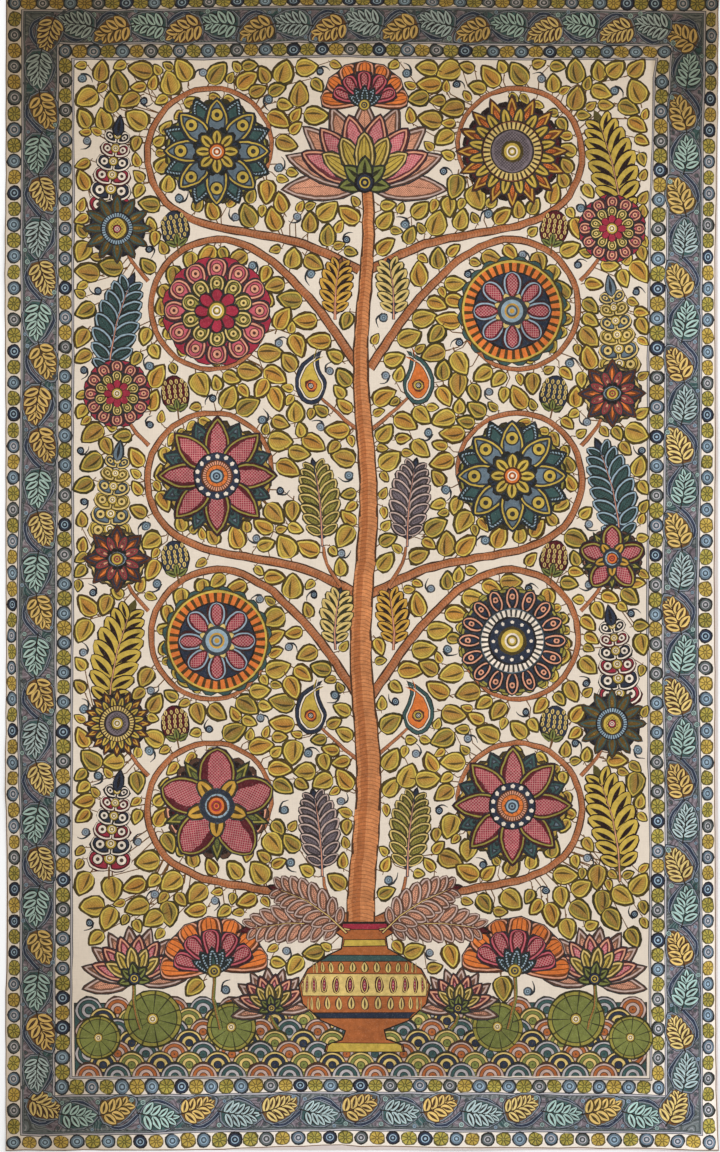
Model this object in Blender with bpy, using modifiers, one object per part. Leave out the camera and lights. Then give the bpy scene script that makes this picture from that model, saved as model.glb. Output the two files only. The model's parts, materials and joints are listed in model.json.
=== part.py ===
"""A kalamkari panel: one length of hand-painted cotton, laid out flat.

The panel is a single uneven rectangle of cloth. It lies on the surface with its
painted face up, its foot towards -Y and its head towards +Y. Most of it touches
the surface. A few low swells lift it where it was creased and handled.

Units are metres. The origin is below the middle of the cloth, on the surface.
"""

import math

import bpy

COLLECTION_NAME = "kalamkari_panel"
CLOTH_NAME = "kalamkari_cloth"

CLOTH_WIDTH = 1.070
CLOTH_LENGTH = 1.738
CLOTH_THICKNESS = 0.0012

GRID_COLUMNS = 39
GRID_ROWS = 63

CLOTH_COLOUR = (0.235, 0.178, 0.105, 1.0)
CLOTH_ROUGHNESS = 0.92

# Each edge drifts in from the cloth's box by up to a millimetre, as cotton cut
# by hand does. Columns: share of the way along the edge, how far it stands in.
# The side edges run from foot to head, the others from left to right.
LEFT_EDGE = (
    (0.00, 0.0003),
    (0.11, 0.0000),
    (0.22, 0.0009),
    (0.31, 0.0002),
    (0.62, 0.0005),
    (1.00, 0.0000),
)
RIGHT_EDGE = (
    (0.00, 0.0000),
    (0.16, 0.0005),
    (0.42, 0.0000),
    (0.78, 0.0006),
    (1.00, 0.0001),
)
FOOT_EDGE = (
    (0.00, 0.0006),
    (0.22, 0.0003),
    (0.47, 0.0000),
    (0.68, 0.0005),
    (1.00, 0.0002),
)
HEAD_EDGE = (
    (0.00, 0.0006),
    (0.22, 0.0000),
    (0.47, 0.0009),
    (0.74, 0.0002),
    (1.00, 0.0007),
)

# The swells, where the cloth doesn't quite touch the surface. Each is a long low
# hump. Columns: centre x, centre y, half length, half width, turn in degrees
# from +X, height.
SWELLS = (
    (-0.535, 0.470, 0.300, 0.105, 12.0, 0.0032),
    (0.535, 0.180, 0.260, 0.110, -9.0, 0.0028),
    (-0.535, -0.330, 0.240, 0.120, -16.0, 0.0026),
    (0.150, -0.869, 0.210, 0.120, 82.0, 0.0030),
    (-0.210, 0.869, 0.230, 0.115, 97.0, 0.0027),
    (0.535, -0.869, 0.190, 0.130, 45.0, 0.0042),
    (0.520, 0.869, 0.170, 0.120, -40.0, 0.0030),
    (-0.535, -0.869, 0.150, 0.110, -48.0, 0.0022),
    (0.535, -0.420, 0.200, 0.105, 6.0, 0.0021),
)


def ease(share):
    """Return a smooth 0 to 1 step for a share from 0 to 1."""
    return 0.5 - 0.5 * math.cos(math.pi * share)


def inset_at(edge, share):
    """Return how far an edge stands in from the box, at a share of its length."""
    for (start, inset), (end, next_inset) in zip(edge, edge[1:]):
        if share <= end:
            return inset + (next_inset - inset) * ease((share - start) / (end - start))
    return edge[-1][1]


def lift_at(x, y):
    """Return how far the cloth's underside stands off the surface at a point."""
    lift = 0.0
    for centre_x, centre_y, half_length, half_width, turn, height in SWELLS:
        angle = math.radians(turn)
        along = (x - centre_x) * math.cos(angle) + (y - centre_y) * math.sin(angle)
        across = (y - centre_y) * math.cos(angle) - (x - centre_x) * math.sin(angle)
        reach = math.hypot(along / half_length, across / half_width)
        if reach < 1.0:
            lift = max(lift, height * ease(1.0 - reach))
    return lift


def point_on_cloth(across, along):
    """Return the underside's point for shares of the width and the length."""
    left = -CLOTH_WIDTH / 2 + inset_at(LEFT_EDGE, along)
    right = CLOTH_WIDTH / 2 - inset_at(RIGHT_EDGE, along)
    foot = -CLOTH_LENGTH / 2 + inset_at(FOOT_EDGE, across)
    head = CLOTH_LENGTH / 2 - inset_at(HEAD_EDGE, across)
    x = left + (right - left) * across
    y = foot + (head - foot) * along
    return x, y, lift_at(x, y)


def clear_scene():
    """Remove every object that the file opened with."""
    for thing in list(bpy.data.objects):
        bpy.data.objects.remove(thing, do_unlink=True)


def make_cloth_material():
    """Return the plain dyed cotton, in the panel's mean colour."""
    material = bpy.data.materials.new("painted_cotton")
    material.use_nodes = True
    shader = material.node_tree.nodes["Principled BSDF"]
    shader.inputs["Base Color"].default_value = CLOTH_COLOUR
    shader.inputs["Roughness"].default_value = CLOTH_ROUGHNESS
    shader.inputs["Metallic"].default_value = 0.0
    return material


def centre_on_box(mesh):
    """Move the sheet so that its box is centred over the origin."""
    for axis in (0, 1):
        places = [vertex.co[axis] for vertex in mesh.vertices]
        middle = (min(places) + max(places)) / 2
        for vertex in mesh.vertices:
            vertex.co[axis] -= middle


def make_cloth(collection):
    """Build the cloth: a grid laid to the measured edges, then given its thickness."""
    bpy.ops.mesh.primitive_grid_add(
        x_subdivisions=GRID_COLUMNS, y_subdivisions=GRID_ROWS, size=1.0
    )
    cloth = bpy.context.object
    cloth.name = CLOTH_NAME
    cloth.data.name = CLOTH_NAME
    for vertex in cloth.data.vertices:
        vertex.co = point_on_cloth(vertex.co.x + 0.5, vertex.co.y + 0.5)
    centre_on_box(cloth.data)
    cloth.data.shade_smooth()

    thickness = cloth.modifiers.new("cloth thickness", "SOLIDIFY")
    thickness.thickness = CLOTH_THICKNESS
    thickness.offset = 1.0

    cloth.data.materials.append(make_cloth_material())
    for owner in list(cloth.users_collection):
        owner.objects.unlink(cloth)
    collection.objects.link(cloth)
    return cloth


def main():
    """Build the panel in a collection of its own."""
    clear_scene()
    collection = bpy.data.collections.new(COLLECTION_NAME)
    bpy.context.scene.collection.children.link(collection)
    make_cloth(collection)


main()
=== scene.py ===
"""The looks of the kalamkari panel: its drawn and dyed face, its weave, and the studio around it.

The drawing is laid as the maker lays it: one patch of dye over another. Every patch is a flat
outline with a dye. When all are laid, the sheet is cut along their outlines into one conforming
surface, each face takes the dye on top, and the surface gets the cloth's thickness, its plain
back and its low swells.

Sizes are metres and angles degrees, in the frame's own axes: +Y to the head.
"""

import cmath
import json
import logging
import math
import operator
import random
from dataclasses import dataclass, field, replace
from enum import Enum
from functools import reduce
from typing import Sequence

import bpy
import numpy as np
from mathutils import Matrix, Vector
from mathutils.geometry import delaunay_2d_cdt

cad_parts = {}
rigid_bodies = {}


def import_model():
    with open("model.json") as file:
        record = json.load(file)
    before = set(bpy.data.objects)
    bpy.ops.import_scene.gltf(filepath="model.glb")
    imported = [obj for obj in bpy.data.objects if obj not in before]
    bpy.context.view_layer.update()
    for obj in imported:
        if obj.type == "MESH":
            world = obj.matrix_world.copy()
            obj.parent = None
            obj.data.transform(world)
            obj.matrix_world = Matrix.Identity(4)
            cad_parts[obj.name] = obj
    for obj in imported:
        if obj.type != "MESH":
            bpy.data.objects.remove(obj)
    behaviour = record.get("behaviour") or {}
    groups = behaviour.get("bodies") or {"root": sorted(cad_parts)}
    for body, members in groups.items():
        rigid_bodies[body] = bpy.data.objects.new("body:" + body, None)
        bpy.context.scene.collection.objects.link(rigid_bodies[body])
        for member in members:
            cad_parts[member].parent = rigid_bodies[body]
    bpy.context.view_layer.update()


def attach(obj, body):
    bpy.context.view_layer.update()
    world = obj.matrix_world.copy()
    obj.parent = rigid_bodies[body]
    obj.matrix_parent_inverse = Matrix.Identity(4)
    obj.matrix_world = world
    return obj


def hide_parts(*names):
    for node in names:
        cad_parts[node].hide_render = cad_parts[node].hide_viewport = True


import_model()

LOG = logging.getLogger("kalamkari")

Points = Sequence[complex]
Outline = list[complex]
Table = Sequence[tuple[float, float]]
Triple = tuple[float, float, float]
Socket = bpy.types.NodeSocket
Tree = bpy.types.NodeTree
Material = bpy.types.Material

# The cloth, with the same driving sizes as the part's own source.
CLOTH_NODE = "kalamkari_cloth"
CLOTH_WIDTH = 1.070
CLOTH_LENGTH = 1.738
CLOTH_THICKNESS = 0.0012

# Share of the way along the edge, how far it stands in from the cloth's box.
LEFT_EDGE = ((0.00, 0.0003), (0.11, 0.0000), (0.22, 0.0009), (0.31, 0.0002), (0.62, 0.0005), (1.00, 0.0000))
RIGHT_EDGE = ((0.00, 0.0000), (0.16, 0.0005), (0.42, 0.0000), (0.78, 0.0006), (1.00, 0.0001))
FOOT_EDGE = ((0.00, 0.0006), (0.22, 0.0003), (0.47, 0.0000), (0.68, 0.0005), (1.00, 0.0002))
HEAD_EDGE = ((0.00, 0.0006), (0.22, 0.0000), (0.47, 0.0009), (0.74, 0.0002), (1.00, 0.0007))

# Centre x, centre y, half length, half width, turn, height of each low swell.
SWELLS = (
    (-0.535, 0.470, 0.300, 0.105, 12.0, 0.0032),
    (0.535, 0.180, 0.260, 0.110, -9.0, 0.0028),
    (-0.535, -0.330, 0.240, 0.120, -16.0, 0.0026),
    (0.150, -0.869, 0.210, 0.120, 82.0, 0.0030),
    (-0.210, 0.869, 0.230, 0.115, 97.0, 0.0027),
    (0.535, -0.869, 0.190, 0.130, 45.0, 0.0042),
    (0.520, 0.869, 0.170, 0.120, -40.0, 0.0030),
    (-0.535, -0.869, 0.150, 0.110, -48.0, 0.0022),
    (0.535, -0.420, 0.200, 0.105, 6.0, 0.0021),
)


class Finish(Enum):
    """The ways that a patch takes the light, one material each."""

    COTTON = "plain_cotton"
    LINE = "iron_black_line"
    WARM = "warm_plant_dye"
    COOL = "cool_plant_dye"


class Dye(Enum):
    """The dyes and pastes, each with its screen colour from 0 to 255 and its finish."""

    CREAM = (239, 225, 208, Finish.COTTON)
    MARGIN = (206, 192, 184, Finish.COTTON)
    HAZE = (182, 176, 178, Finish.COTTON)
    BLUSH = (196, 170, 160, Finish.COTTON)
    INK = (36, 27, 21, Finish.LINE)
    BLUE_INK = (36, 42, 48, Finish.LINE)
    OLIVE_INK = (84, 76, 34, Finish.LINE)
    UMBER = (106, 72, 36, Finish.LINE)
    GOLD = (214, 179, 104, Finish.WARM)
    OCHRE = (198, 169, 74, Finish.WARM)
    STRAW = (216, 188, 116, Finish.WARM)
    LEMON = (212, 186, 84, Finish.WARM)
    AMBER = (200, 154, 64, Finish.WARM)
    MUSTARD = (182, 151, 70, Finish.WARM)
    OLIVE = (150, 140, 64, Finish.WARM)
    MOSS = (122, 128, 66, Finish.WARM)
    TERRACOTTA = (205, 132, 82, Finish.WARM)
    CLAY = (172, 98, 52, Finish.WARM)
    ORANGE = (222, 120, 54, Finish.WARM)
    SALMON = (221, 156, 126, Finish.WARM)
    ROSE = (196, 92, 104, Finish.WARM)
    MADDER = (160, 44, 64, Finish.WARM)
    MAROON = (78, 18, 26, Finish.WARM)
    BROWN = (120, 74, 52, Finish.WARM)
    BARK = (182, 118, 80, Finish.WARM)
    NAVY = (42, 50, 68, Finish.COOL)
    SLATE = (100, 116, 128, Finish.COOL)
    STEEL = (132, 138, 148, Finish.COOL)
    SKY = (150, 172, 186, Finish.COOL)
    TEAL = (58, 86, 84, Finish.COOL)
    AQUA = (166, 192, 182, Finish.COOL)
    GROUND = (106, 112, 110, Finish.COOL)
    MIST = (170, 187, 184, Finish.COOL)
    GREY = (92, 98, 96, Finish.COOL)
    MAUVE = (118, 106, 112, Finish.COOL)

    @property
    def finish(self) -> Finish:
        """The finish that this dye takes."""
        return self.value[3]

    @property
    def linear(self) -> Triple:
        """The colour as linear light."""
        return tuple(to_linear(part / 255.0) for part in self.value[:3])




def to_linear(value: float) -> float:
    """Return a screen value from 0 to 1 as linear light."""
    return value / 12.92 if value <= 0.04045 else ((value + 0.055) / 1.055) ** 2.4


def ease(share: float) -> float:
    """Return a smooth 0 to 1 step for a share from 0 to 1."""
    return 0.5 - 0.5 * math.cos(math.pi * share)


def eased_at(table: Table, share: float) -> float:
    """Return a table's value at a share, eased between its rows.

    Args:
        table: Rows of a share and a value, in order.
        share: Where to read it.

    Returns:
        The value.
    """
    if share <= table[0][0]:
        return table[0][1]
    for (start, value), (end, next_value) in zip(table, table[1:]):
        if share <= end:
            return value + (next_value - value) * ease((share - start) / (end - start))
    return table[-1][1]


def turned(angle: float) -> complex:
    """Return the unit step that points at an angle in degrees."""
    return cmath.rect(1.0, math.radians(angle))


# Outlines


def anticlockwise(outline: Points) -> Outline:
    """Return an outline turned to run anticlockwise."""
    area = sum((a.conjugate() * b).imag for a, b in zip(outline, [*outline[1:], outline[0]]))
    return list(outline) if area > 0 else list(outline)[::-1]


def growth(length: float, width: float, base: float, tip: float) -> Triple:
    """Return how a petal's half width grows: the base's power, the tip's power and a factor."""
    crown = base / (base + tip)
    return base, tip, 0.5 * width / (length * crown ** base * (1.0 - crown) ** tip)


def circle(radius: float, sides: int, centre: complex = 0j) -> Outline:
    """Return a round outline, anticlockwise."""
    return [centre + radius * turned(360.0 * side / sides) for side in range(sides)]


def scallops(radius: float, lobes: int, depth: float, steps: int = 3) -> Outline:
    """Return a round outline with bulging lobes.

    Args:
        radius: The radius at the lobes' crowns.
        lobes: How many lobes go round.
        depth: How far the notches stand in.
        steps: Points on each lobe.

    Returns:
        The outline, anticlockwise.
    """
    outline = []
    for place in range(lobes * steps):
        swell = abs(math.sin(math.pi * place / steps))
        outline.append((radius - depth * (1.0 - swell)) * turned(360.0 * place / (lobes * steps)))
    return outline


def petal(length: float, width: float, base: float = 0.5, tip: float = 0.8, steps: int = 4) -> Outline:
    """Return a petal that grows from the origin along +X.

    Args:
        length: From base to tip.
        width: Across its widest part.
        base: How its base tapers: 0.5 is round, 1 is pointed.
        tip: How its tip tapers, in the same way.
        steps: Points on each side.

    Returns:
        The outline, anticlockwise.
    """
    crown = base / (base + tip)
    most = crown ** base * (1.0 - crown) ** tip
    side = []
    for step in range(1, steps + 1):
        share = 0.5 - 0.5 * math.cos(math.pi * step / (steps + 1))
        half = 0.5 * width * share ** base * (1.0 - share) ** tip / most
        side.append(complex(length * share, -half))
    return [0j, *side, complex(length, 0.0), *(point.conjugate() for point in reversed(side))]


def drop(length: float, width: float, sides: int) -> Outline:
    """Return a drop's outline along +X, round at the origin and pointed at its far end.

    Args:
        length: Its length.
        width: Its greatest width.
        sides: How many points it has.

    Returns:
        The drop.
    """
    angles = [math.pi + 2 * math.pi * place / sides for place in range(sides)]
    return [complex(length * (1 + math.cos(angle)) / 2,
                    0.72 * width * math.sin(angle) * abs(math.sin(angle / 2)) ** 1.5) for angle in angles]


def ribbon(path: Points, width: float, end_width: float | None = None) -> Outline:
    """Return a stroke's outline, as wide as the pen is pressed.

    Args:
        path: The points that the stroke follows.
        width: Its width at the start.
        end_width: Its width at the end, or None where it stays the same.

    Returns:
        The outline, anticlockwise.
    """
    end_width = width if end_width is None else end_width
    last = len(path) - 1
    right, left = [], []
    for place, point in enumerate(path):
        way = path[min(place + 1, last)] - path[max(place - 1, 0)]
        normal = 1j * way / (abs(way) or 1.0)
        half = 0.5 * (width + (end_width - width) * place / last)
        right.append(point - normal * half)
        left.append(point + normal * half)
    return right + left[::-1]


def inset(outline: Points, margin: float) -> Outline:
    """Return an outline drawn in by a margin, with its corners kept from running away.

    Args:
        outline: The outline, anticlockwise.
        margin: How far to draw it in.

    Returns:
        The smaller outline.
    """
    drawn = []
    for place, point in enumerate(outline):
        before = point - outline[place - 1]
        after = outline[(place + 1) % len(outline)] - point
        if abs(before) < 1e-9 or abs(after) < 1e-9:
            continue
        before, after = before / abs(before), after / abs(after)
        middle = before + after
        normal = 1j * (middle / abs(middle) if abs(middle) > 1e-6 else -before)
        spread = max((normal * (1j * before).conjugate()).real, 0.4)
        drawn.append(point + normal * margin / spread)
    return drawn


def curve_through(knots: Points, steps: int) -> Outline:
    """Return a smooth path through some points.

    Args:
        knots: The points that it passes.
        steps: Points on each span.

    Returns:
        The path's points.
    """
    ends = [2 * knots[0] - knots[1], *knots, 2 * knots[-1] - knots[-2]]
    path = []
    for a, b, c, d in zip(ends, ends[1:], ends[2:], ends[3:]):
        for step in range(steps):
            t = step / steps
            path.append(0.5 * (2 * b + (c - a) * t + (2 * a - 5 * b + 4 * c - d) * t * t
                               + (3 * b - a - 3 * c + d) * t ** 3))
    return [*path, knots[-1]]


def bent(outline: Points, curl: float, length: float) -> Outline:
    """Return an outline that grew along +X, bent into an arc.

    Args:
        outline: The outline.
        curl: The angle that its whole length turns through.
        length: The length that turns through it.

    Returns:
        The bent outline.
    """
    rate = math.radians(curl) / length
    turns = [cmath.exp(1j * rate * p.real) for p in outline]
    return [(turn - 1.0) / (1j * rate) + 1j * p.imag * turn for p, turn in zip(outline, turns)]


# Drawing


class Pen(Enum):
    """What the pen draws on a patch. The cloth's shader draws it, in the patch's own frame."""

    NONE = 0
    BLADE = 1
    LEAF = 2
    VEIN = 3
    NET = 4
    RAYS = 5
    EYE = 6
    BEADS = 7
    PLAIN = 8
    STEM = 9
    RING = 11
    FLORET = 12
    WHEEL = 13
    PAD = 14
    MESH = 15
    RIPPLE = 16
    SWIRL = 17


ROUND = (0.5, 0.5, 1.0)


@dataclass(frozen=True)
class Patch:
    """One flat area of dye, with what the pen draws on it.

    The patch's frame runs from its outline's first point to the one half way round. Its
    shape says how its half width grows along that line: the base's power, the tip's power,
    and a factor, as a share of its length. Its bow is how far its middle line bows, as a
    share of its length.
    """

    outline: tuple[complex, ...]
    dye: Dye
    pen: Pen = Pen.NONE
    accent: Dye = Dye.CREAM
    shape: Triple = ROUND
    bow: float = 0.0

    def drawn(self) -> tuple[float, ...]:
        """Return its shape, measured where it is a round one, and its pen's number.

        Returns:
            The shape's numbers, then the pen's.
        """
        base, tip, factor = self.shape
        if self.pen is not Pen.NONE and self.shape == ROUND:
            start, axis = self.outline[0], self.outline[len(self.outline) // 2] - self.outline[0]
            factor = 2.0 * max(abs(((p - start) / axis).imag) for p in self.outline)
        return base, tip, factor, self.pen.value


@dataclass
class Sketch:
    """Patches of dye in the order that they are laid, later ones over earlier ones."""

    patches: list[Patch] = field(default_factory=list)

    def lay(self, outline: Points, dye: Dye, pen: Pen = Pen.NONE, accent: Dye | None = None,
            shape: Triple = ROUND, bow: float = 0.0) -> None:
        """Lay one patch. Its accent is the dye of its rim, dots or eye, or None for its own dye."""
        if len(outline) > 2:
            self.patches.append(Patch(tuple(outline), dye, pen, accent or dye, shape, bow))

    def blade(self, length: float, width: float, dye: Dye, pen: Pen = Pen.BLADE,
              accent: Dye | None = None, at: complex = 0j, turn: float = 0.0, base: float = 0.5,
              tip: float = 0.75, steps: int = 4) -> None:
        """Lay a petal or a leaflet.

        Args:
            length: From base to tip.
            width: Across its widest part.
            dye: Its dye.
            pen: What the pen draws on it.
            accent: The dye of its rim.
            at: Where its base stands.
            turn: The way that it points.
            base: How its base tapers.
            tip: How its tip tapers.
            steps: Points on each side.
        """
        step = turned(turn)
        outline = [at + step * point for point in petal(length, width, base, tip, steps)]
        self.lay(outline, dye, pen, accent, growth(length, width, base, tip))

    def disc(self, radius: float, dye: Dye, pen: Pen = Pen.PLAIN, accent: Dye | None = None,
             at: complex = 0j) -> None:
        """Lay a round patch."""
        self.lay(circle(radius, 2 * max(4, min(13, round(radius / 0.0032))), at), dye, pen, accent)

    def draw(self, outline: Points, dye: Dye, line: float) -> None:
        """Lay a patch of any outline with an ink line round it."""
        self.lay(outline, Dye.INK)
        self.lay(inset(outline, line), dye)

    def stroke(self, path: Points, width: float, dye: Dye, end_width: float | None = None) -> None:
        """Lay a stroke along a path."""
        self.lay(ribbon(path, width, end_width), dye)

    def stamp(self, other: "Sketch", at: complex = 0j, turn: float = 0.0, mirrored: bool = False) -> None:
        """Lay another sketch's patches at a place.

        Args:
            other: The sketch to repeat.
            at: Where its origin goes.
            turn: The angle that it turns through.
            mirrored: Whether it is turned over first.
        """
        step = turned(turn)
        for patch in other.patches:
            points = [at + step * (p.conjugate() if mirrored else p) for p in patch.outline]
            if mirrored:
                points = [points[0], *points[:0:-1]]
            bow = -patch.bow if mirrored else patch.bow
            self.patches.append(replace(patch, outline=tuple(points), bow=bow))

    def curled(self, curl: float, length: float) -> "Sketch":
        """Return this sketch bent along its length.

        Args:
            curl: How far its end turns, in degrees.
            length: The length that bends.

        Returns:
            The bent sketch.
        """
        patches = []
        for patch in self.patches:
            reach = (patch.outline[len(patch.outline) // 2] - patch.outline[0]).real
            bow = patch.bow + math.radians(curl) * reach / length / 8.0
            patches.append(replace(patch, outline=tuple(bent(patch.outline, curl, length)), bow=bow))
        return Sketch(patches)

    def mesh(self, name: str, first: int) -> bpy.types.Mesh:
        """Return the patches as flat faces that carry their numbers.

        Args:
            name: The mesh's name.
            first: The number of the first patch.

        Returns:
            The mesh.
        """
        points: list[Triple] = []
        faces = []
        for patch in self.patches:
            faces.append(list(range(len(points), len(points) + len(patch.outline))))
            points.extend((p.real, p.imag, 0.0) for p in patch.outline)
        mesh = bpy.data.meshes.new(name)
        mesh.from_pydata(points, [], faces)
        numbers = list(range(first, first + len(faces)))
        mesh.attributes.new("patch", "INT", "FACE").data.foreach_set("value", numbers)
        return mesh


# Node trees


class Wire:
    """A number in a node tree, with signs that add math nodes.

    A test gives 1 where it holds, `|` gives the greater of two and `~` gives 1 less the number.
    """

    def __init__(self, pad: "NodePad", socket: Socket) -> None:
        """Keep the pad and the socket that the number comes from."""
        self.pad = pad
        self.socket = socket

    def math(self, operation: str, *others: "Wire | float") -> "Wire":
        """Return the result of a math node on this and some other numbers."""
        node = self.pad.add("ShaderNodeMath", dict(enumerate((self, *others))), operation=operation)
        return Wire(self.pad, node.outputs[0])

    def __add__(self, other: "Wire | float") -> "Wire":
        """Add."""
        return self.math("ADD", other)

    def __sub__(self, other: "Wire | float") -> "Wire":
        """Subtract."""
        return self.math("SUBTRACT", other)

    def __mul__(self, other: "Wire | float") -> "Wire":
        """Multiply."""
        return self.math("MULTIPLY", other)

    def __truediv__(self, other: "Wire | float") -> "Wire":
        """Divide."""
        return self.math("DIVIDE", other)

    def __pow__(self, other: "Wire | float") -> "Wire":
        """Raise to a power."""
        return self.math("POWER", other)

    def __abs__(self) -> "Wire":
        """Drop the sign."""
        return self.math("ABSOLUTE")

    def __lt__(self, other: "Wire | float") -> "Wire":
        """Return 1 where this is less."""
        return self.math("LESS_THAN", other)

    def __gt__(self, other: "Wire | float") -> "Wire":
        """Return 1 where this is more."""
        return self.math("GREATER_THAN", other)

    def __or__(self, other: "Wire | float") -> "Wire":
        """Return the greater."""
        return self.math("MAXIMUM", other)

    def __invert__(self) -> "Wire":
        """Return 1 less this."""
        return self.math("MULTIPLY_ADD", -1.0, 1.0)

    def within(self, low: "Wire | float", high: "Wire | float") -> "Wire":
        """Return 1 where this lies between two numbers."""
        return (self > low) * (self < high)

    def stripes(self, share: float) -> "Wire":
        """Return 1 over the first share of each whole step."""
        return self.math("FRACT") < share


class NodePad:
    """A short way to write a node tree: it adds nodes, sets their sockets and joins them."""

    def __init__(self, tree: Tree) -> None:
        """Keep the tree that is written."""
        self.tree = tree

    @classmethod
    def group(cls, tree: str, name: str, inputs: dict[str, object], outputs: dict[str, str]) -> "NodePad":
        """Start a node group.

        Args:
            tree: Its tree's type.
            name: Its name.
            inputs: A default value for each input, or else its type's name.
            outputs: The type's name of each output.

        Returns:
            A pad on the group's tree.
        """
        pad = cls(bpy.data.node_groups.new(name, tree))
        sizes = {3: "Vector", 4: "Color"}
        for label, value in inputs.items():
            plain = isinstance(value, str)
            kind = value if plain else "Float" if isinstance(value, float) else sizes[len(value)]
            socket = pad.tree.interface.new_socket(label, in_out="INPUT", socket_type="NodeSocket" + kind)
            if not plain:
                socket.default_value = value
        for label, kind in outputs.items():
            pad.tree.interface.new_socket(label, in_out="OUTPUT", socket_type="NodeSocket" + kind)
        pad.given = pad.add("NodeGroupInput").outputs
        return pad

    def add(self, kind: str, inputs: dict | None = None, **properties: object) -> bpy.types.Node:
        """Add a node.

        Args:
            kind: The node's type.
            inputs: Its sockets, by name or number: a value, or the output or wire that feeds it.
            properties: Its own settings.

        Returns:
            The node.
        """
        node = self.tree.nodes.new(kind)
        for name, value in properties.items():
            setattr(node, name, value)
        self.feed(node, inputs or {})
        return node

    def feed(self, node: bpy.types.Node, inputs: dict) -> None:
        """Set a node's sockets, each to a value or to the output or wire that feeds it.

        Args:
            node: The node.
            inputs: The values, by socket.
        """
        for key, value in inputs.items():
            value = value.socket if isinstance(value, Wire) else value
            if isinstance(value, Socket):
                self.tree.links.new(value, node.inputs[key])
            else:
                node.inputs[key].default_value = value

    def wire(self, kind: str, inputs: dict | None = None, out: int | str = 0, **properties: object) -> Wire:
        """Add a node and return one of its outputs as a number."""
        return Wire(self, self.add(kind, inputs, **properties).outputs[out])

    def input(self, name: str) -> Wire:
        """Return one of the group's inputs as a number."""
        return Wire(self, self.given[name])

    def parts(self, name: str) -> list[Wire]:
        """Return the three numbers of one of the group's vector inputs."""
        return [Wire(self, part) for part in self.add("ShaderNodeSeparateXYZ", {0: self.given[name]}).outputs]

    def noise(self, place: Socket, scale: float, detail: float, rough: float = 0.5) -> Wire:
        """Return a noise from 0 to 1."""
        return self.wire("ShaderNodeTexNoise", {
            "Vector": place, "Scale": scale, "Detail": detail, "Roughness": rough})

    def scaled(self, colour: Socket, factor: Wire | float) -> Socket:
        """Return a colour times a number."""
        return self.add("ShaderNodeVectorMath", {0: colour, "Scale": factor}, operation="SCALE").outputs[0]

    def mix(self, share: Wire | float, below: object, over: object) -> Socket:
        """Return one colour laid over another."""
        return self.add("ShaderNodeMix", {0: share, 6: below, 7: over}, data_type="RGBA").outputs[2]


# Stamping, with Geometry Nodes


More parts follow.
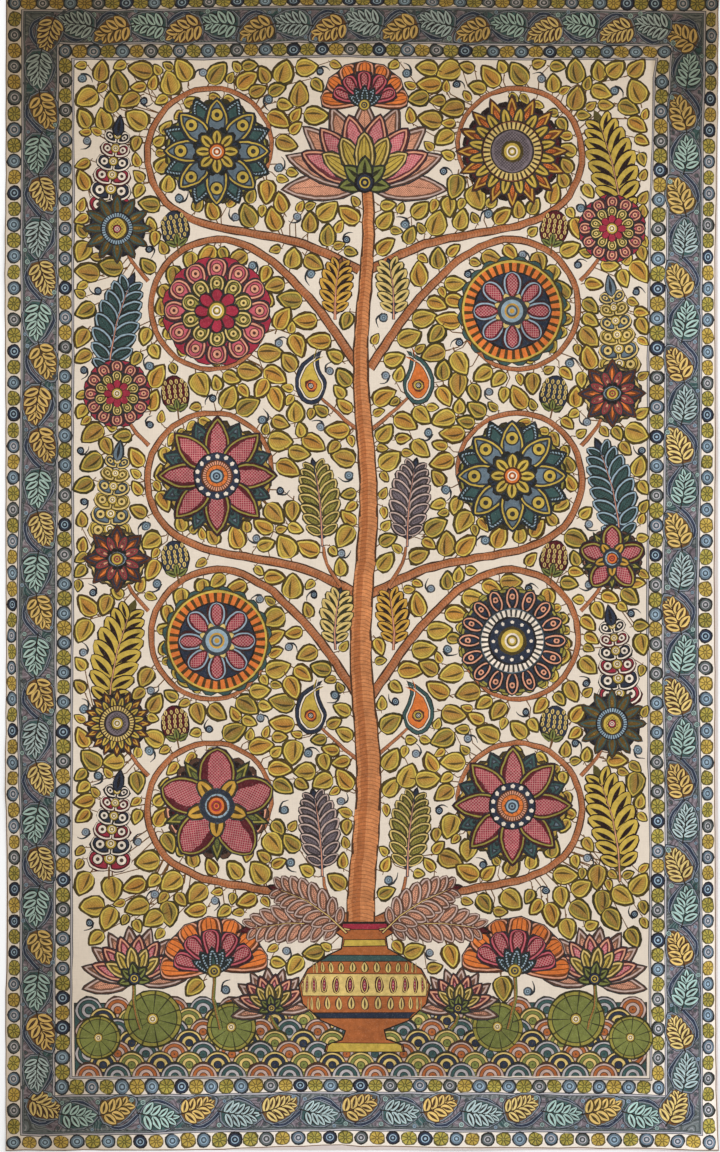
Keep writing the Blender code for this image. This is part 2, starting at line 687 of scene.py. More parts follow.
class StampTree:
    """The Geometry Nodes trees that stamp a collection's motifs: along a path, and at charted points."""

    @staticmethod
    def start(name: str, inputs: dict[str, str]) -> NodePad:
        """Start a tree with inputs of its own and those that both trees have.

        Args:
            name: The tree's name.
            inputs: Its own inputs, each with its kind.

        Returns:
            The pad of the new tree.
        """
        return NodePad.group("GeometryNodeTree", name, {
            **inputs, "Motifs": "Collection", "Turn Drift": "Float", "Seed": "Int", "Material": "Material",
        }, {"Stamped": "Geometry"})

    @staticmethod
    def drift(pad: NodePad, name: str) -> Wire:
        """Add a random number between minus and plus one of the tree's inputs."""
        return pad.wire("FunctionNodeRandomValue", {
            "Seed": pad.given["Seed"], 2: pad.input(name) * -1.0, 3: pad.given[name]}, 1, data_type="FLOAT")

    @staticmethod
    def spin(pad: NodePad, angle: Wire) -> Wire:
        """Add a turn about +Z."""
        return pad.wire("FunctionNodeAxisAngleToRotation", {"Axis": (0.0, 0.0, 1.0), "Angle": angle})

    @staticmethod
    def finish(pad: NodePad, points: Socket, pick: Wire, rotation: Wire, scale: Wire) -> Tree:
        """End a tree: put the motifs on the points, make them real and set their material.

        Args:
            pad: The tree's pad.
            points: The points.
            pick: The number of each point's motif.
            rotation: Its rotation.
            scale: Its scale.

        Returns:
            The tree.
        """
        motifs = pad.add("GeometryNodeCollectionInfo", {
            "Collection": pad.given["Motifs"], "Separate Children": True, "Reset Children": True})
        stamped = pad.add("GeometryNodeInstanceOnPoints", {
            "Points": points, "Instance": motifs.outputs[0], "Pick Instance": True, "Instance Index": pick,
            "Rotation": rotation, "Scale": scale})
        real = pad.add("GeometryNodeRealizeInstances", {"Geometry": stamped.outputs[0]})
        dyed = pad.add("GeometryNodeSetMaterial", {
            "Geometry": real.outputs[0], "Material": pad.given["Material"]})
        pad.add("NodeGroupOutput", {"Stamped": dyed.outputs[0]})
        return pad.tree

    @classmethod
    def row(cls) -> Tree:
        """Build the tree that stamps two kinds of motif, turn about, along a path.

        Each motif turns to follow the path, is as broad as the path has room for, drifts a
        little in turn and size as a hand does, and is one of a few variants.

        Returns:
            The node tree, ready for a modifier.
        """
        pad = cls.start("row of motifs", {
            "Path": "Geometry", "Count": "Int", "Variants": "Int", "Size Drift": "Float"})
        given = pad.given
        line = pad.add("GeometryNodeMeshToCurve", {"Mesh": given["Path"]})
        spread = pad.add("GeometryNodeResampleCurve", {"Curve": line.outputs[0], "Count": given["Count"]},
                         mode="COUNT")

        def whole(operation: str, one: object, other: object) -> Wire:
            """Return the result of a sum on two whole numbers."""
            return pad.wire("FunctionNodeIntegerMath", {0: one, 1: other}, operation=operation)

        turn_about = whole("MODULO", pad.wire("GeometryNodeInputIndex"), 2)
        variant = pad.wire("FunctionNodeRandomValue", {
            "Seed": given["Seed"], 4: 0, 5: whole("SUBTRACT", given["Variants"], 1)}, 2, data_type="INT")
        pick = whole("ADD", whole("MULTIPLY", turn_about, given["Variants"]), variant)
        tangent = pad.wire("GeometryNodeInputTangent")
        follow = pad.wire("FunctionNodeAlignRotationToVector", {"Vector": tangent}, axis="X")
        spin = cls.spin(pad, cls.drift(pad, "Turn Drift"))
        rotation = pad.wire("FunctionNodeRotateRotation", {"Rotation": follow, "Rotate By": spin},
                            rotation_space="LOCAL")
        size = cls.drift(pad, "Size Drift") + 1.0
        room = pad.wire("GeometryNodeInputNamedAttribute", {"Name": "room"}, data_type="FLOAT")
        scale = pad.wire("ShaderNodeCombineXYZ", {0: size, 1: size * room, 2: 1.0})
        return cls.finish(pad, spread.outputs[0], pick, rotation, scale)

    @classmethod
    def chart(cls) -> Tree:
        """Build the tree for charted points, each of which says its motif, its turn and its size.

        Returns:
            The tree.
        """
        pad = cls.start("charted motifs", {"Chart": "Geometry"})
        pick, turn, size = (
            pad.wire("GeometryNodeInputNamedAttribute", {"Name": name}, data_type=kind)
            for name, kind in (("pick", "INT"), ("turn", "FLOAT"), ("size", "FLOAT")))
        rotation = cls.spin(pad, turn + cls.drift(pad, "Turn Drift"))
        return cls.finish(pad, pad.given["Chart"], pick, rotation, size)


@dataclass(frozen=True)
class Spot:
    """A charted place for a motif."""

    at: complex
    turn: float
    size: float
    pick: int


class StampBox:
    """Holds the motifs that a tree stamps, and runs it on a path or a chart."""

    def __init__(self, name: str, motifs: Sequence[Sketch], material: Material) -> None:
        """Make the motifs' objects.

        Args:
            name: The box's name.
            motifs: The motifs, in the order that they are picked.
            material: The material that stamped faces take.
        """
        self.material = material
        self.collection = bpy.data.collections.new(name)
        self.patches: list[Patch] = []
        for place, motif in enumerate(motifs):
            label = f"{name}_{place:02d}"
            mesh = motif.mesh(label, len(self.patches))
            self.collection.objects.link(bpy.data.objects.new(label, mesh))
            self.patches.extend(motif.patches)

    def run(self, tree: Tree, points: Points, edges: Sequence[tuple[int, int]],
            marks: dict[str, tuple[str, Sequence[float]]], values: dict[str, object]) -> Sketch:
        """Stamp the motifs on a path or a chart.

        Args:
            tree: A stamping tree.
            points: The points of the path or chart.
            edges: The path's edges.
            marks: What each point says, by name: the kind of number, and the numbers.
            values: The modifier's inputs, by name.

        Returns:
            The stamped patches.
        """
        ground = bpy.data.meshes.new("stamping ground")
        ground.from_pydata([(p.real, p.imag, 0.0) for p in points], edges, [])
        for name, (kind, numbers) in marks.items():
            ground.attributes.new(name, kind, "POINT").data.foreach_set("value", numbers)
        bench = bpy.data.objects.new("stamping bench", ground)
        bpy.context.scene.collection.objects.link(bench)
        modifier = bench.modifiers.new("stamp", "NODES")
        modifier.node_group = tree
        named = {item.name: item.identifier for item in tree.interface.items_tree if item.in_out == "INPUT"}
        for name, value in {**values, "Motifs": self.collection, "Material": self.material}.items():
            modifier[named[name]] = value
        evaluated = bench.evaluated_get(bpy.context.evaluated_depsgraph_get())
        mesh = bpy.data.meshes.new_from_object(evaluated)
        places = [complex(vertex.co.x, vertex.co.y) for vertex in mesh.vertices]
        stamped = Sketch([
            replace(self.patches[number.value], outline=tuple(places[v] for v in face.vertices))
            for face, number in zip(mesh.polygons, mesh.attributes["patch"].data)])
        bench.modifiers.remove(modifier)
        bpy.data.objects.remove(bench)
        bpy.data.meshes.remove(mesh)
        bpy.data.meshes.remove(ground)
        return stamped

    def along(self, tree: Tree, points: Points, rooms: Sequence[float], values: dict[str, object]) -> Sketch:
        """Stamp the motifs on a path, each as broad as there is room for."""
        edges = [(place, place + 1) for place in range(len(points) - 1)]
        return self.run(tree, points, edges, {"room": ("FLOAT", rooms)}, values)

    def at(self, spots: Sequence[Spot], values: dict[str, object]) -> Sketch:
        """Stamp the motifs on charted places.

        Args:
            spots: The places, each with its motif, turn and size.
            values: The tree's other inputs, by name.

        Returns:
            The stamped patches.
        """
        return self.run(StampTree.chart(), [spot.at for spot in spots], [], {
            "pick": ("INT", [spot.pick for spot in spots]),
            "turn": ("FLOAT", [math.radians(spot.turn) for spot in spots]),
            "size": ("FLOAT", [spot.size for spot in spots])}, values)

    def put_away(self) -> None:
        """Remove the motifs' objects once nothing more is stamped."""
        for thing in list(self.collection.objects):
            mesh = thing.data
            bpy.data.objects.remove(thing)
            bpy.data.meshes.remove(mesh)
        bpy.data.collections.remove(self.collection)


# The border


@dataclass(frozen=True)
class BandLine:
    """A line round the cloth, drawn by eye, so that it bows.

    Each side is a table, anticlockwise from the foot: a share of the cloth's side, and how
    far the line stands in from the cloth's box there, in millimetres.
    """

    sides: tuple[Table, ...]

    def stands_in(self, side: int, share: float) -> float:
        """Return how far one side stands in from the cloth's box."""
        return 0.001 * eased_at(self.sides[side % 4], share)

    def point(self, side: int, share: float, margin: float = 0.0) -> complex:
        """Return a point on one side.

        Args:
            side: The side's number, anticlockwise from the foot.
            share: The share of the way between its two corners.
            margin: How far the line is drawn in.

        Returns:
            The point.
        """
        length = (CLOTH_WIDTH, CLOTH_LENGTH)[side % 2]
        start = self.stands_in(side - 1, 1.0) + margin
        end = length - self.stands_in(side + 1, 0.0) - margin
        along = start + (end - start) * share
        way = 1j ** side
        corner = complex((-0.5, 0.5, 0.5, -0.5)[side % 4] * CLOTH_WIDTH,
                         (-0.5, -0.5, 0.5, 0.5)[side % 4] * CLOTH_LENGTH)
        return corner + way * along + 1j * way * (self.stands_in(side, along / length) + margin)

    def outline(self, margin: float, step: float = 0.030) -> Outline:
        """Return the line as points, drawn in by a margin.

        Args:
            margin: How far inside the line.
            step: How far apart the points are.

        Returns:
            The points, anticlockwise.
        """
        outline = []
        for side in range(4):
            count = round((CLOTH_WIDTH, CLOTH_LENGTH)[side % 2] / step)
            outline.extend(self.point(side, place / count, margin) for place in range(count))
        return outline

    def between(self, other: "BandLine") -> "BandLine":
        """Return the line half way to another.

        Args:
            other: The other line.

        Returns:
            The new line.
        """
        return BandLine(tuple(
            tuple((share, (eased_at(own, share) + eased_at(its, share)) / 2)
                  for share in sorted({share for share, _ in (*own, *its)}))
            for own, its in zip(self.sides, other.sides)))


@dataclass(frozen=True)
class RingBead:
    """A round bead with a heavy dark ring and a pale eye. A small one is a curl of the vine's corners."""

    body: Dye
    eye: Dye
    radius: float = 0.0114
    sides: int = 12

    def sketch(self) -> Sketch:
        """Draw the bead.

        Returns:
            The drawing.
        """
        drawing = Sketch()
        drawing.lay(circle(self.radius, self.sides), self.body, Pen.RING, self.eye)
        return drawing


@dataclass(frozen=True)
class FloretBead:
    """A squarish floret: a mustard disc with brown rays and eye."""

    body: Dye
    skew: float
    reach: float = 0.0116
    corners: float = 3.2

    def sketch(self) -> Sketch:
        """Draw the floret, its straight sides along the row.

        Returns:
            The drawing.
        """
        drawing = Sketch()
        outline = []
        for angle in range(0, 360, 30):
            way = turned(angle)
            bulge = (abs(way.real) ** self.corners + abs(way.imag) ** self.corners) ** (-1 / self.corners)
            outline.append(self.reach * complex(way.real * 0.98, way.imag * 0.90) * bulge * turned(self.skew))
        drawing.lay(outline, self.body, Pen.FLORET, Dye.OCHRE)
        return drawing


@dataclass(frozen=True)
class VineLeaf:
    """The border's feathered leaf: plump leaflets on both sides of a dark midrib."""

    plump: float
    leaflets: int
    body: Dye
    accent: Dye
    spine: Dye = Dye.UMBER
    length: float = 0.058
    reach: float = 0.0262

    def leaflet(self, drawing: Sketch, length: float, plump: float, root: float, turn: float) -> None:
        """Lay one leaflet."""
        drawing.blade(length, length * plump, self.body, Pen.BLADE, self.accent, root + 0j, turn, 0.45, 0.6,
                      3)

    def sketch(self) -> Sketch:
        """Draw the leaf along +X from its stalk.

        Returns:
            The drawing.
        """
        drawing = Sketch()
        for grown, dye in ((1.17, Dye.BLUE_INK), (1.11, Dye.STEEL), (1.06, Dye.GREY), (1.0, self.spine)):
            drawing.blade(self.length * grown, self.reach * (1.50 + 1.6 * (grown - 1.0)), dye, Pen.NONE, None,
                          -0.4 * self.length * (grown - 1.0) + 0j, base=0.4, tip=0.7, steps=6)
        self.leaflet(drawing, 0.40 * self.length, 0.46, 0.62 * self.length, 4.0)
        for place in reversed(range(self.leaflets)):
            share = place / (self.leaflets - 1)
            reach = self.reach * (0.92 + 0.10 * math.sin(3.0 * share) - 0.26 * share)
            for side, behind in ((1, 0.0), (-1, 0.045)):
                root = self.length * (0.06 + 0.56 * share + behind)
                self.leaflet(drawing, reach, self.plump, root, side * (60.0 - 24.0 * share))
        midrib = [-0.006 + 0j, 0.2 * self.length + 0j, 0.68 * self.length + 0j]
        drawing.stroke(midrib, 0.0022, Dye.INK, 0.0008)
        return drawing.curled(18.0, self.length)


@dataclass(frozen=True)
class Border:
    """The border: bead rows on both sides of a grey band with a waving vine of leaves.

    Its stamped faces take the material.
    """

    material: Material
    edge_line: BandLine = BandLine((
        ((0.0, 0.5), (0.27, 0.8), (0.34, 4.0), (0.42, 6.6), (0.45, 8.2), (0.51, 6.4), (0.62, 5.0),
         (0.76, 4.0), (0.90, 3.3), (0.955, 2.0), (1.0, 0.4)),
        ((0.0, 1.4), (0.05, 4.0), (0.25, 4.6), (0.38, 5.6), (0.475, 6.6), (0.58, 5.4), (0.75, 4.8),
         (0.855, 3.0), (0.90, 0.6), (1.0, 0.5)),
        ((0.0, 2.8), (0.5, 3.0), (1.0, 2.8)),
        ((0.0, 1.2), (0.10, 0.4), (0.68, 0.3), (0.735, 2.4), (0.83, 2.4), (0.87, 0.6), (1.0, 0.5))))
    outer_line: BandLine = BandLine((
        ((0.0, 23.0), (0.20, 24.8), (0.27, 28.2), (0.48, 30.4), (0.69, 28.8), (0.90, 26.8), (1.0, 24.4)),
        ((0.0, 24.6), (0.27, 25.6), (0.35, 27.5), (0.41, 31.2), (0.475, 31.2), (0.53, 29.2), (0.58, 27.2),
         (0.68, 25.9), (0.87, 23.8), (0.94, 20.4), (1.0, 20.0)),
        ((0.0, 28.4), (0.31, 22.9), (0.45, 19.6), (0.59, 19.6), (0.66, 21.4), (0.80, 24.4), (1.0, 25.6)),
        ((0.0, 24.8), (0.26, 24.2), (0.42, 21.8), (0.50, 18.6), (0.585, 16.6), (0.65, 19.4), (0.73, 22.4),
         (1.0, 23.2))))
    vine_line: BandLine = BandLine((
        ((0.0, 81.0), (0.27, 82.2), (0.41, 86.0), (0.55, 85.6), (0.70, 84.6), (1.0, 80.8)),
        ((0.0, 78.3), (0.27, 78.3), (0.37, 80.2), (0.475, 82.2), (0.58, 79.8), (0.68, 78.4), (0.79, 76.4),
         (0.87, 74.2), (1.0, 68.8)),
        ((0.0, 77.2), (0.31, 76.6), (0.45, 73.4), (0.55, 72.2), (0.73, 74.5), (1.0, 74.6)),
        ((0.0, 77.7), (0.42, 77.5), (0.50, 75.1), (0.73, 73.4), (1.0, 71.5))))
    field_line: BandLine = BandLine((
        ((0.0, 108.6), (0.5, 108.4), (1.0, 106.0)),
        ((0.0, 99.8), (0.16, 101.8), (0.27, 102.0), (0.37, 103.8), (0.475, 105.4), (0.68, 104.6),
         (0.79, 102.8), (0.87, 98.0), (1.0, 92.2)),
        ((0.0, 98.2), (0.31, 98.0), (0.45, 96.0), (0.52, 93.8), (0.62, 94.8), (0.73, 98.0), (1.0, 98.2)),
        ((0.0, 101.2), (0.5, 100.2), (0.65, 98.6), (1.0, 97.3))))

    # Beads and leaves between corners, on the foot, right, head and left sides.
    outer_counts: tuple[int, ...] = (44, 72, 50, 72)
    inner_counts: tuple[int, ...] = (40, 70, 42, 70)
    leaf_counts: tuple[int, ...] = (16, 26, 18, 26)
    odd_ochre_leaf: int = 69

    bead_room: float = 0.0226
    vine_wave: float = 0.0205
    vine_width: float = 0.0078
    leaf_reach: float = 0.0272
    seed: int = 11

    @property
    def leaf_total(self) -> int:
        """How many leaves there are in all."""
        return sum(self.leaf_counts)

    def bands(self) -> Sketch:
        """Lay the bands, from the cloth's edge inwards.

        Returns:
            The drawing.
        """
        drawing = Sketch()
        drawing.lay(self.edge_line.outline(-0.0012), Dye.UMBER)
        drawing.lay(self.edge_line.outline(0.0), Dye.CREAM)
        for line, within in ((self.outer_line, Dye.GROUND), (self.vine_line, Dye.CREAM),
                             (self.field_line, Dye.CREAM)):
            for margin, dye in ((-0.0021, Dye.BLUE_INK), (-0.0011, Dye.HAZE), (0.0010, Dye.BLUE_INK),
                                (0.0020, within)):
                drawing.lay(line.outline(margin), dye)
            if within is Dye.GROUND:
                drawing.lay(line.outline(0.0036), Dye.BLUE_INK)
                drawing.lay(line.outline(0.0046), within, Pen.SWIRL, Dye.HAZE)
        return drawing

    def beads(self) -> Sketch:
        """Stamp the four sides of both bead rows.

        Returns:
            The drawing.
        """
        rings = [RingBead(body, eye).sketch() for body, eye in (
            (Dye.SLATE, Dye.SKY), (Dye.SLATE, Dye.HAZE), (Dye.SLATE, Dye.SKY), (Dye.GREY, Dye.HAZE),
            (Dye.NAVY, Dye.SKY))]
        florets = [FloretBead(body, skew).sketch() for body, skew in (
            (Dye.OLIVE, 0.0), (Dye.MUSTARD, 6.0), (Dye.OLIVE, -8.0), (Dye.OLIVE, 4.0), (Dye.MUSTARD, -4.0))]
        box = StampBox("border_bead", rings + florets, self.material)
        drawing, tree = Sketch(), StampTree.row()
        for near, far, counts in ((self.edge_line, self.outer_line, self.outer_counts),
                                  (self.vine_line, self.field_line, self.inner_counts)):
            row = near.between(far)
            for side, count in enumerate(counts):
                shares = [place / count for place in range(count)]
                rooms = [(far.stands_in(side, share) - near.stands_in(side, share) - 0.0022) / self.bead_room
                         for share in shares]
                drawing.stamp(box.along(tree, [row.point(side, share) for share in shares], rooms, {
                    "Count": count, "Variants": len(rings), "Size Drift": 0.05, "Turn Drift": 0.08,
                    "Seed": self.seed + side + count}))
        box.put_away()
        return drawing

    def station(self, place: float) -> tuple[complex, complex]:
        """Return the vine's middle line at a leaf's number, and the way that it runs.

        Args:
            place: The leaf's number, counted anticlockwise from the foot's left corner.

        Returns:
            The point, and the unit step along the line.
        """
        line = self.outer_line.between(self.vine_line)
        place %= self.leaf_total
        starts = [sum(self.leaf_counts[:side]) for side in range(5)]
        side = max(index for index in range(4) if starts[index] <= place)
        blend = 0.45

        def on_side(index: int, at: float) -> complex:
            """Return a point on a side's line."""
            return line.point(index % 4, (at - starts[index % 4]) / self.leaf_counts[index % 4])

        for index in (side, side + 1):
            if abs(place - starts[index]) < blend:
                before = on_side(index - 1, (starts[index] or self.leaf_total) - blend)
                after = on_side(index, starts[index % 4] + blend)
                t = (place - starts[index] + blend) / (2 * blend)
                corner = line.point(index % 4, 0.0)
                point = (1 - t) ** 2 * before + 2 * t * (1 - t) * corner + t * t * after
                way = (1 - t) * (corner - before) + t * (after - corner)
                return point, way / abs(way)
        way = on_side(side, place + 0.3) - on_side(side, place - 0.3)
        return on_side(side, place), way / abs(way)

    def vine(self) -> Sketch:
        """Draw the vine as one waving line, past every leaf on its outer or inner side.

        Returns:
            The drawing.
        """
        drawing = Sketch()
        steps = 8
        path = []
        for step in range(self.leaf_total * steps + 1):
            point, way = self.station(step / steps)
            path.append(point - 1j * way * self.vine_wave * math.cos(math.pi * step / steps))
        for start in range(0, self.leaf_total * steps, steps):
            for share, dye in ((1.0, Dye.BLUE_INK), (0.74, Dye.STEEL), (0.46, Dye.NAVY)):
                drawing.stroke(path[start:start + steps + 1], self.vine_width * share, dye)
        return drawing

    def grounds(self) -> Sketch:
        """Lay the mauve and teal washes in the vine's corners.

        Returns:
            The drawing.
        """
        rnd = random.Random(self.seed)
        drawing = Sketch()
        for leaf in range(self.leaf_total):
            out = 1 if leaf % 2 else -1
            for along, across, length, width, dye in (
                    (0.00, -0.10, 0.058, 0.040, Dye.MAUVE if out < 0 else Dye.TEAL),
                    (0.46, 0.70, 0.034, 0.016, Dye.MAUVE),
                    (0.50, -0.72, 0.026, 0.013, rnd.choice((Dye.MAUVE, Dye.TEAL)))):
                point, way = self.station(leaf + along)
                middle = point + 1j * way * out * self.vine_wave * across
                turn = turned(rnd.uniform(-14.0, 14.0)) * way
                drawing.lay([middle + turn * (p - length / 2) for p in petal(length, width, 0.5, 0.5)], dye,
                            Pen.SWIRL, Dye.HAZE)
        return drawing

    def leaves(self) -> Sketch:
        """Stamp the leaves and the small curls round them.

        Returns:
            The drawing.
        """
        rnd = random.Random(self.seed + 1)
        ochre = [VineLeaf(0.67, 4, Dye.CLAY, Dye.GOLD), VineLeaf(0.69, 4, Dye.AMBER, Dye.GOLD),
                 VineLeaf(0.60, 5, Dye.CLAY, Dye.STRAW)]
        teal = [VineLeaf(plump, count, Dye.NAVY, accent, Dye.TEAL)
                for plump, count, accent in ((0.58, 4, Dye.AQUA), (0.60, 4, Dye.AQUA), (0.52, 5, Dye.MIST))]
        hooks = [RingBead(body, Dye.NAVY, radius, 8)
                 for body, radius in ((Dye.AQUA, 0.0042), (Dye.SKY, 0.0034), (Dye.GREY, 0.0036))]
        motifs = [motif.sketch() for motif in (*ochre, *teal, *hooks)]
        box = StampBox("border_leaf", motifs, self.material)
        spots = []
        for leaf in range(self.leaf_total):
            point, way = self.station(leaf)
            heading = math.degrees(cmath.phase(way))
            out = 1 if leaf % 2 else -1
            kind = 0 if leaf % 2 == 0 or leaf == self.odd_ochre_leaf else 3
            lean = -out * 14.0
            root = point - way * self.leaf_reach * turned(lean) - 1j * way * out * 0.0052
            spots.append(Spot(root, heading + lean, rnd.uniform(0.94, 1.03), kind + rnd.randrange(3)))
            for along, across in ((0.34, 1.08), (-0.38, -0.90), (0.50, -0.88)):
                near, step = self.station(leaf + along)
                curl = near + 1j * step * -out * self.vine_wave * across
                spots.append(Spot(curl, rnd.uniform(0, 360), rnd.uniform(0.85, 1.1), 6 + rnd.randrange(3)))
        drawing = box.at(spots, {"Turn Drift": 0.06, "Seed": self.seed})
        box.put_away()
        return drawing

    def sketch(self) -> Sketch:
        """Draw the whole border.

        Returns:
            The drawing.
        """
        drawing = self.bands()
        for layer in (self.grounds(), self.vine(), self.leaves(), self.beads()):
            drawing.stamp(layer)
        LOG.info("border: %d patches", len(drawing.patches))
        return drawing


# Motifs of the field


@dataclass(frozen=True)
class Disc:
    """A round layer of a bloom, plain or lobed, with sizes as shares of the bloom's radius."""

    radius: float
    dye: Dye
    pen: Pen = Pen.PLAIN
    accent: Dye | None = None
    lobes: int = 0

    def lay(self, drawing: Sketch, size: float) -> None:
        """Lay the disc on a drawing.

        Args:
            drawing: The drawing of the bloom.
            size: The bloom's radius.
        """
        radius = self.radius * size
        if not self.lobes:
            drawing.disc(radius, self.dye, self.pen, self.accent)
            return
        outline = scallops(radius, self.lobes, 0.07 * size)
        drawing.lay(outline, Dye.INK)
        drawing.lay(inset(outline, 0.0014), self.dye, self.pen, self.accent)


@dataclass(frozen=True)
class Seeds:
    """A ring of cream dots."""

    ring: float
    count: int
    radius: float

    def lay(self, drawing: Sketch, size: float) -> None:
        """Lay the dots on a drawing of a bloom with this radius.

        Args:
            drawing: The drawing of the bloom.
            size: The bloom's radius.
        """
        for place in range(self.count):
            middle = self.ring * size * turned(360.0 * place / self.count)
            drawing.lay(circle(self.radius * size, 5, middle), Dye.CREAM)


@dataclass(frozen=True)
class Petals:
    """A ring or a fan of petals, with sizes as shares of the bloom's radius."""

    count: int
    root: float
    length: float
    width: float
    dye: Dye
    pen: Pen = Pen.PLAIN
    accent: Dye | None = None
    base: float = 0.5
    tip: float = 0.7
    start: float = 0.0
    spread: float = 360.0

    def lay(self, drawing: Sketch, size: float) -> None:
        """Lay the petals on a drawing, the outer ones of a fan first.

        Args:
            drawing: The drawing of the bloom.
            size: The bloom's radius.
        """
        whole = self.spread > 359.0
        step = self.spread / (self.count if whole else max(1, self.count - 1))
        first = self.start if whole else self.start - self.spread / 2
        turns = [first + step * place for place in range(self.count)]
        if not whole:
            turns.sort(key=lambda turn: -abs(turn - self.start))
        length, width, steps = self.length * size, self.width * size, 5 if self.width > 0.3 else 3
        for turn in turns:
            grown = (self.root * size * turned(turn), turn, self.base, self.tip, steps)
            if length > 0.018:
                drawing.blade(length + 0.0016, width + 0.0034, Dye.BLUE_INK, Pen.NONE, None, *grown)
            drawing.blade(length, width, self.dye, self.pen, self.accent, *grown)


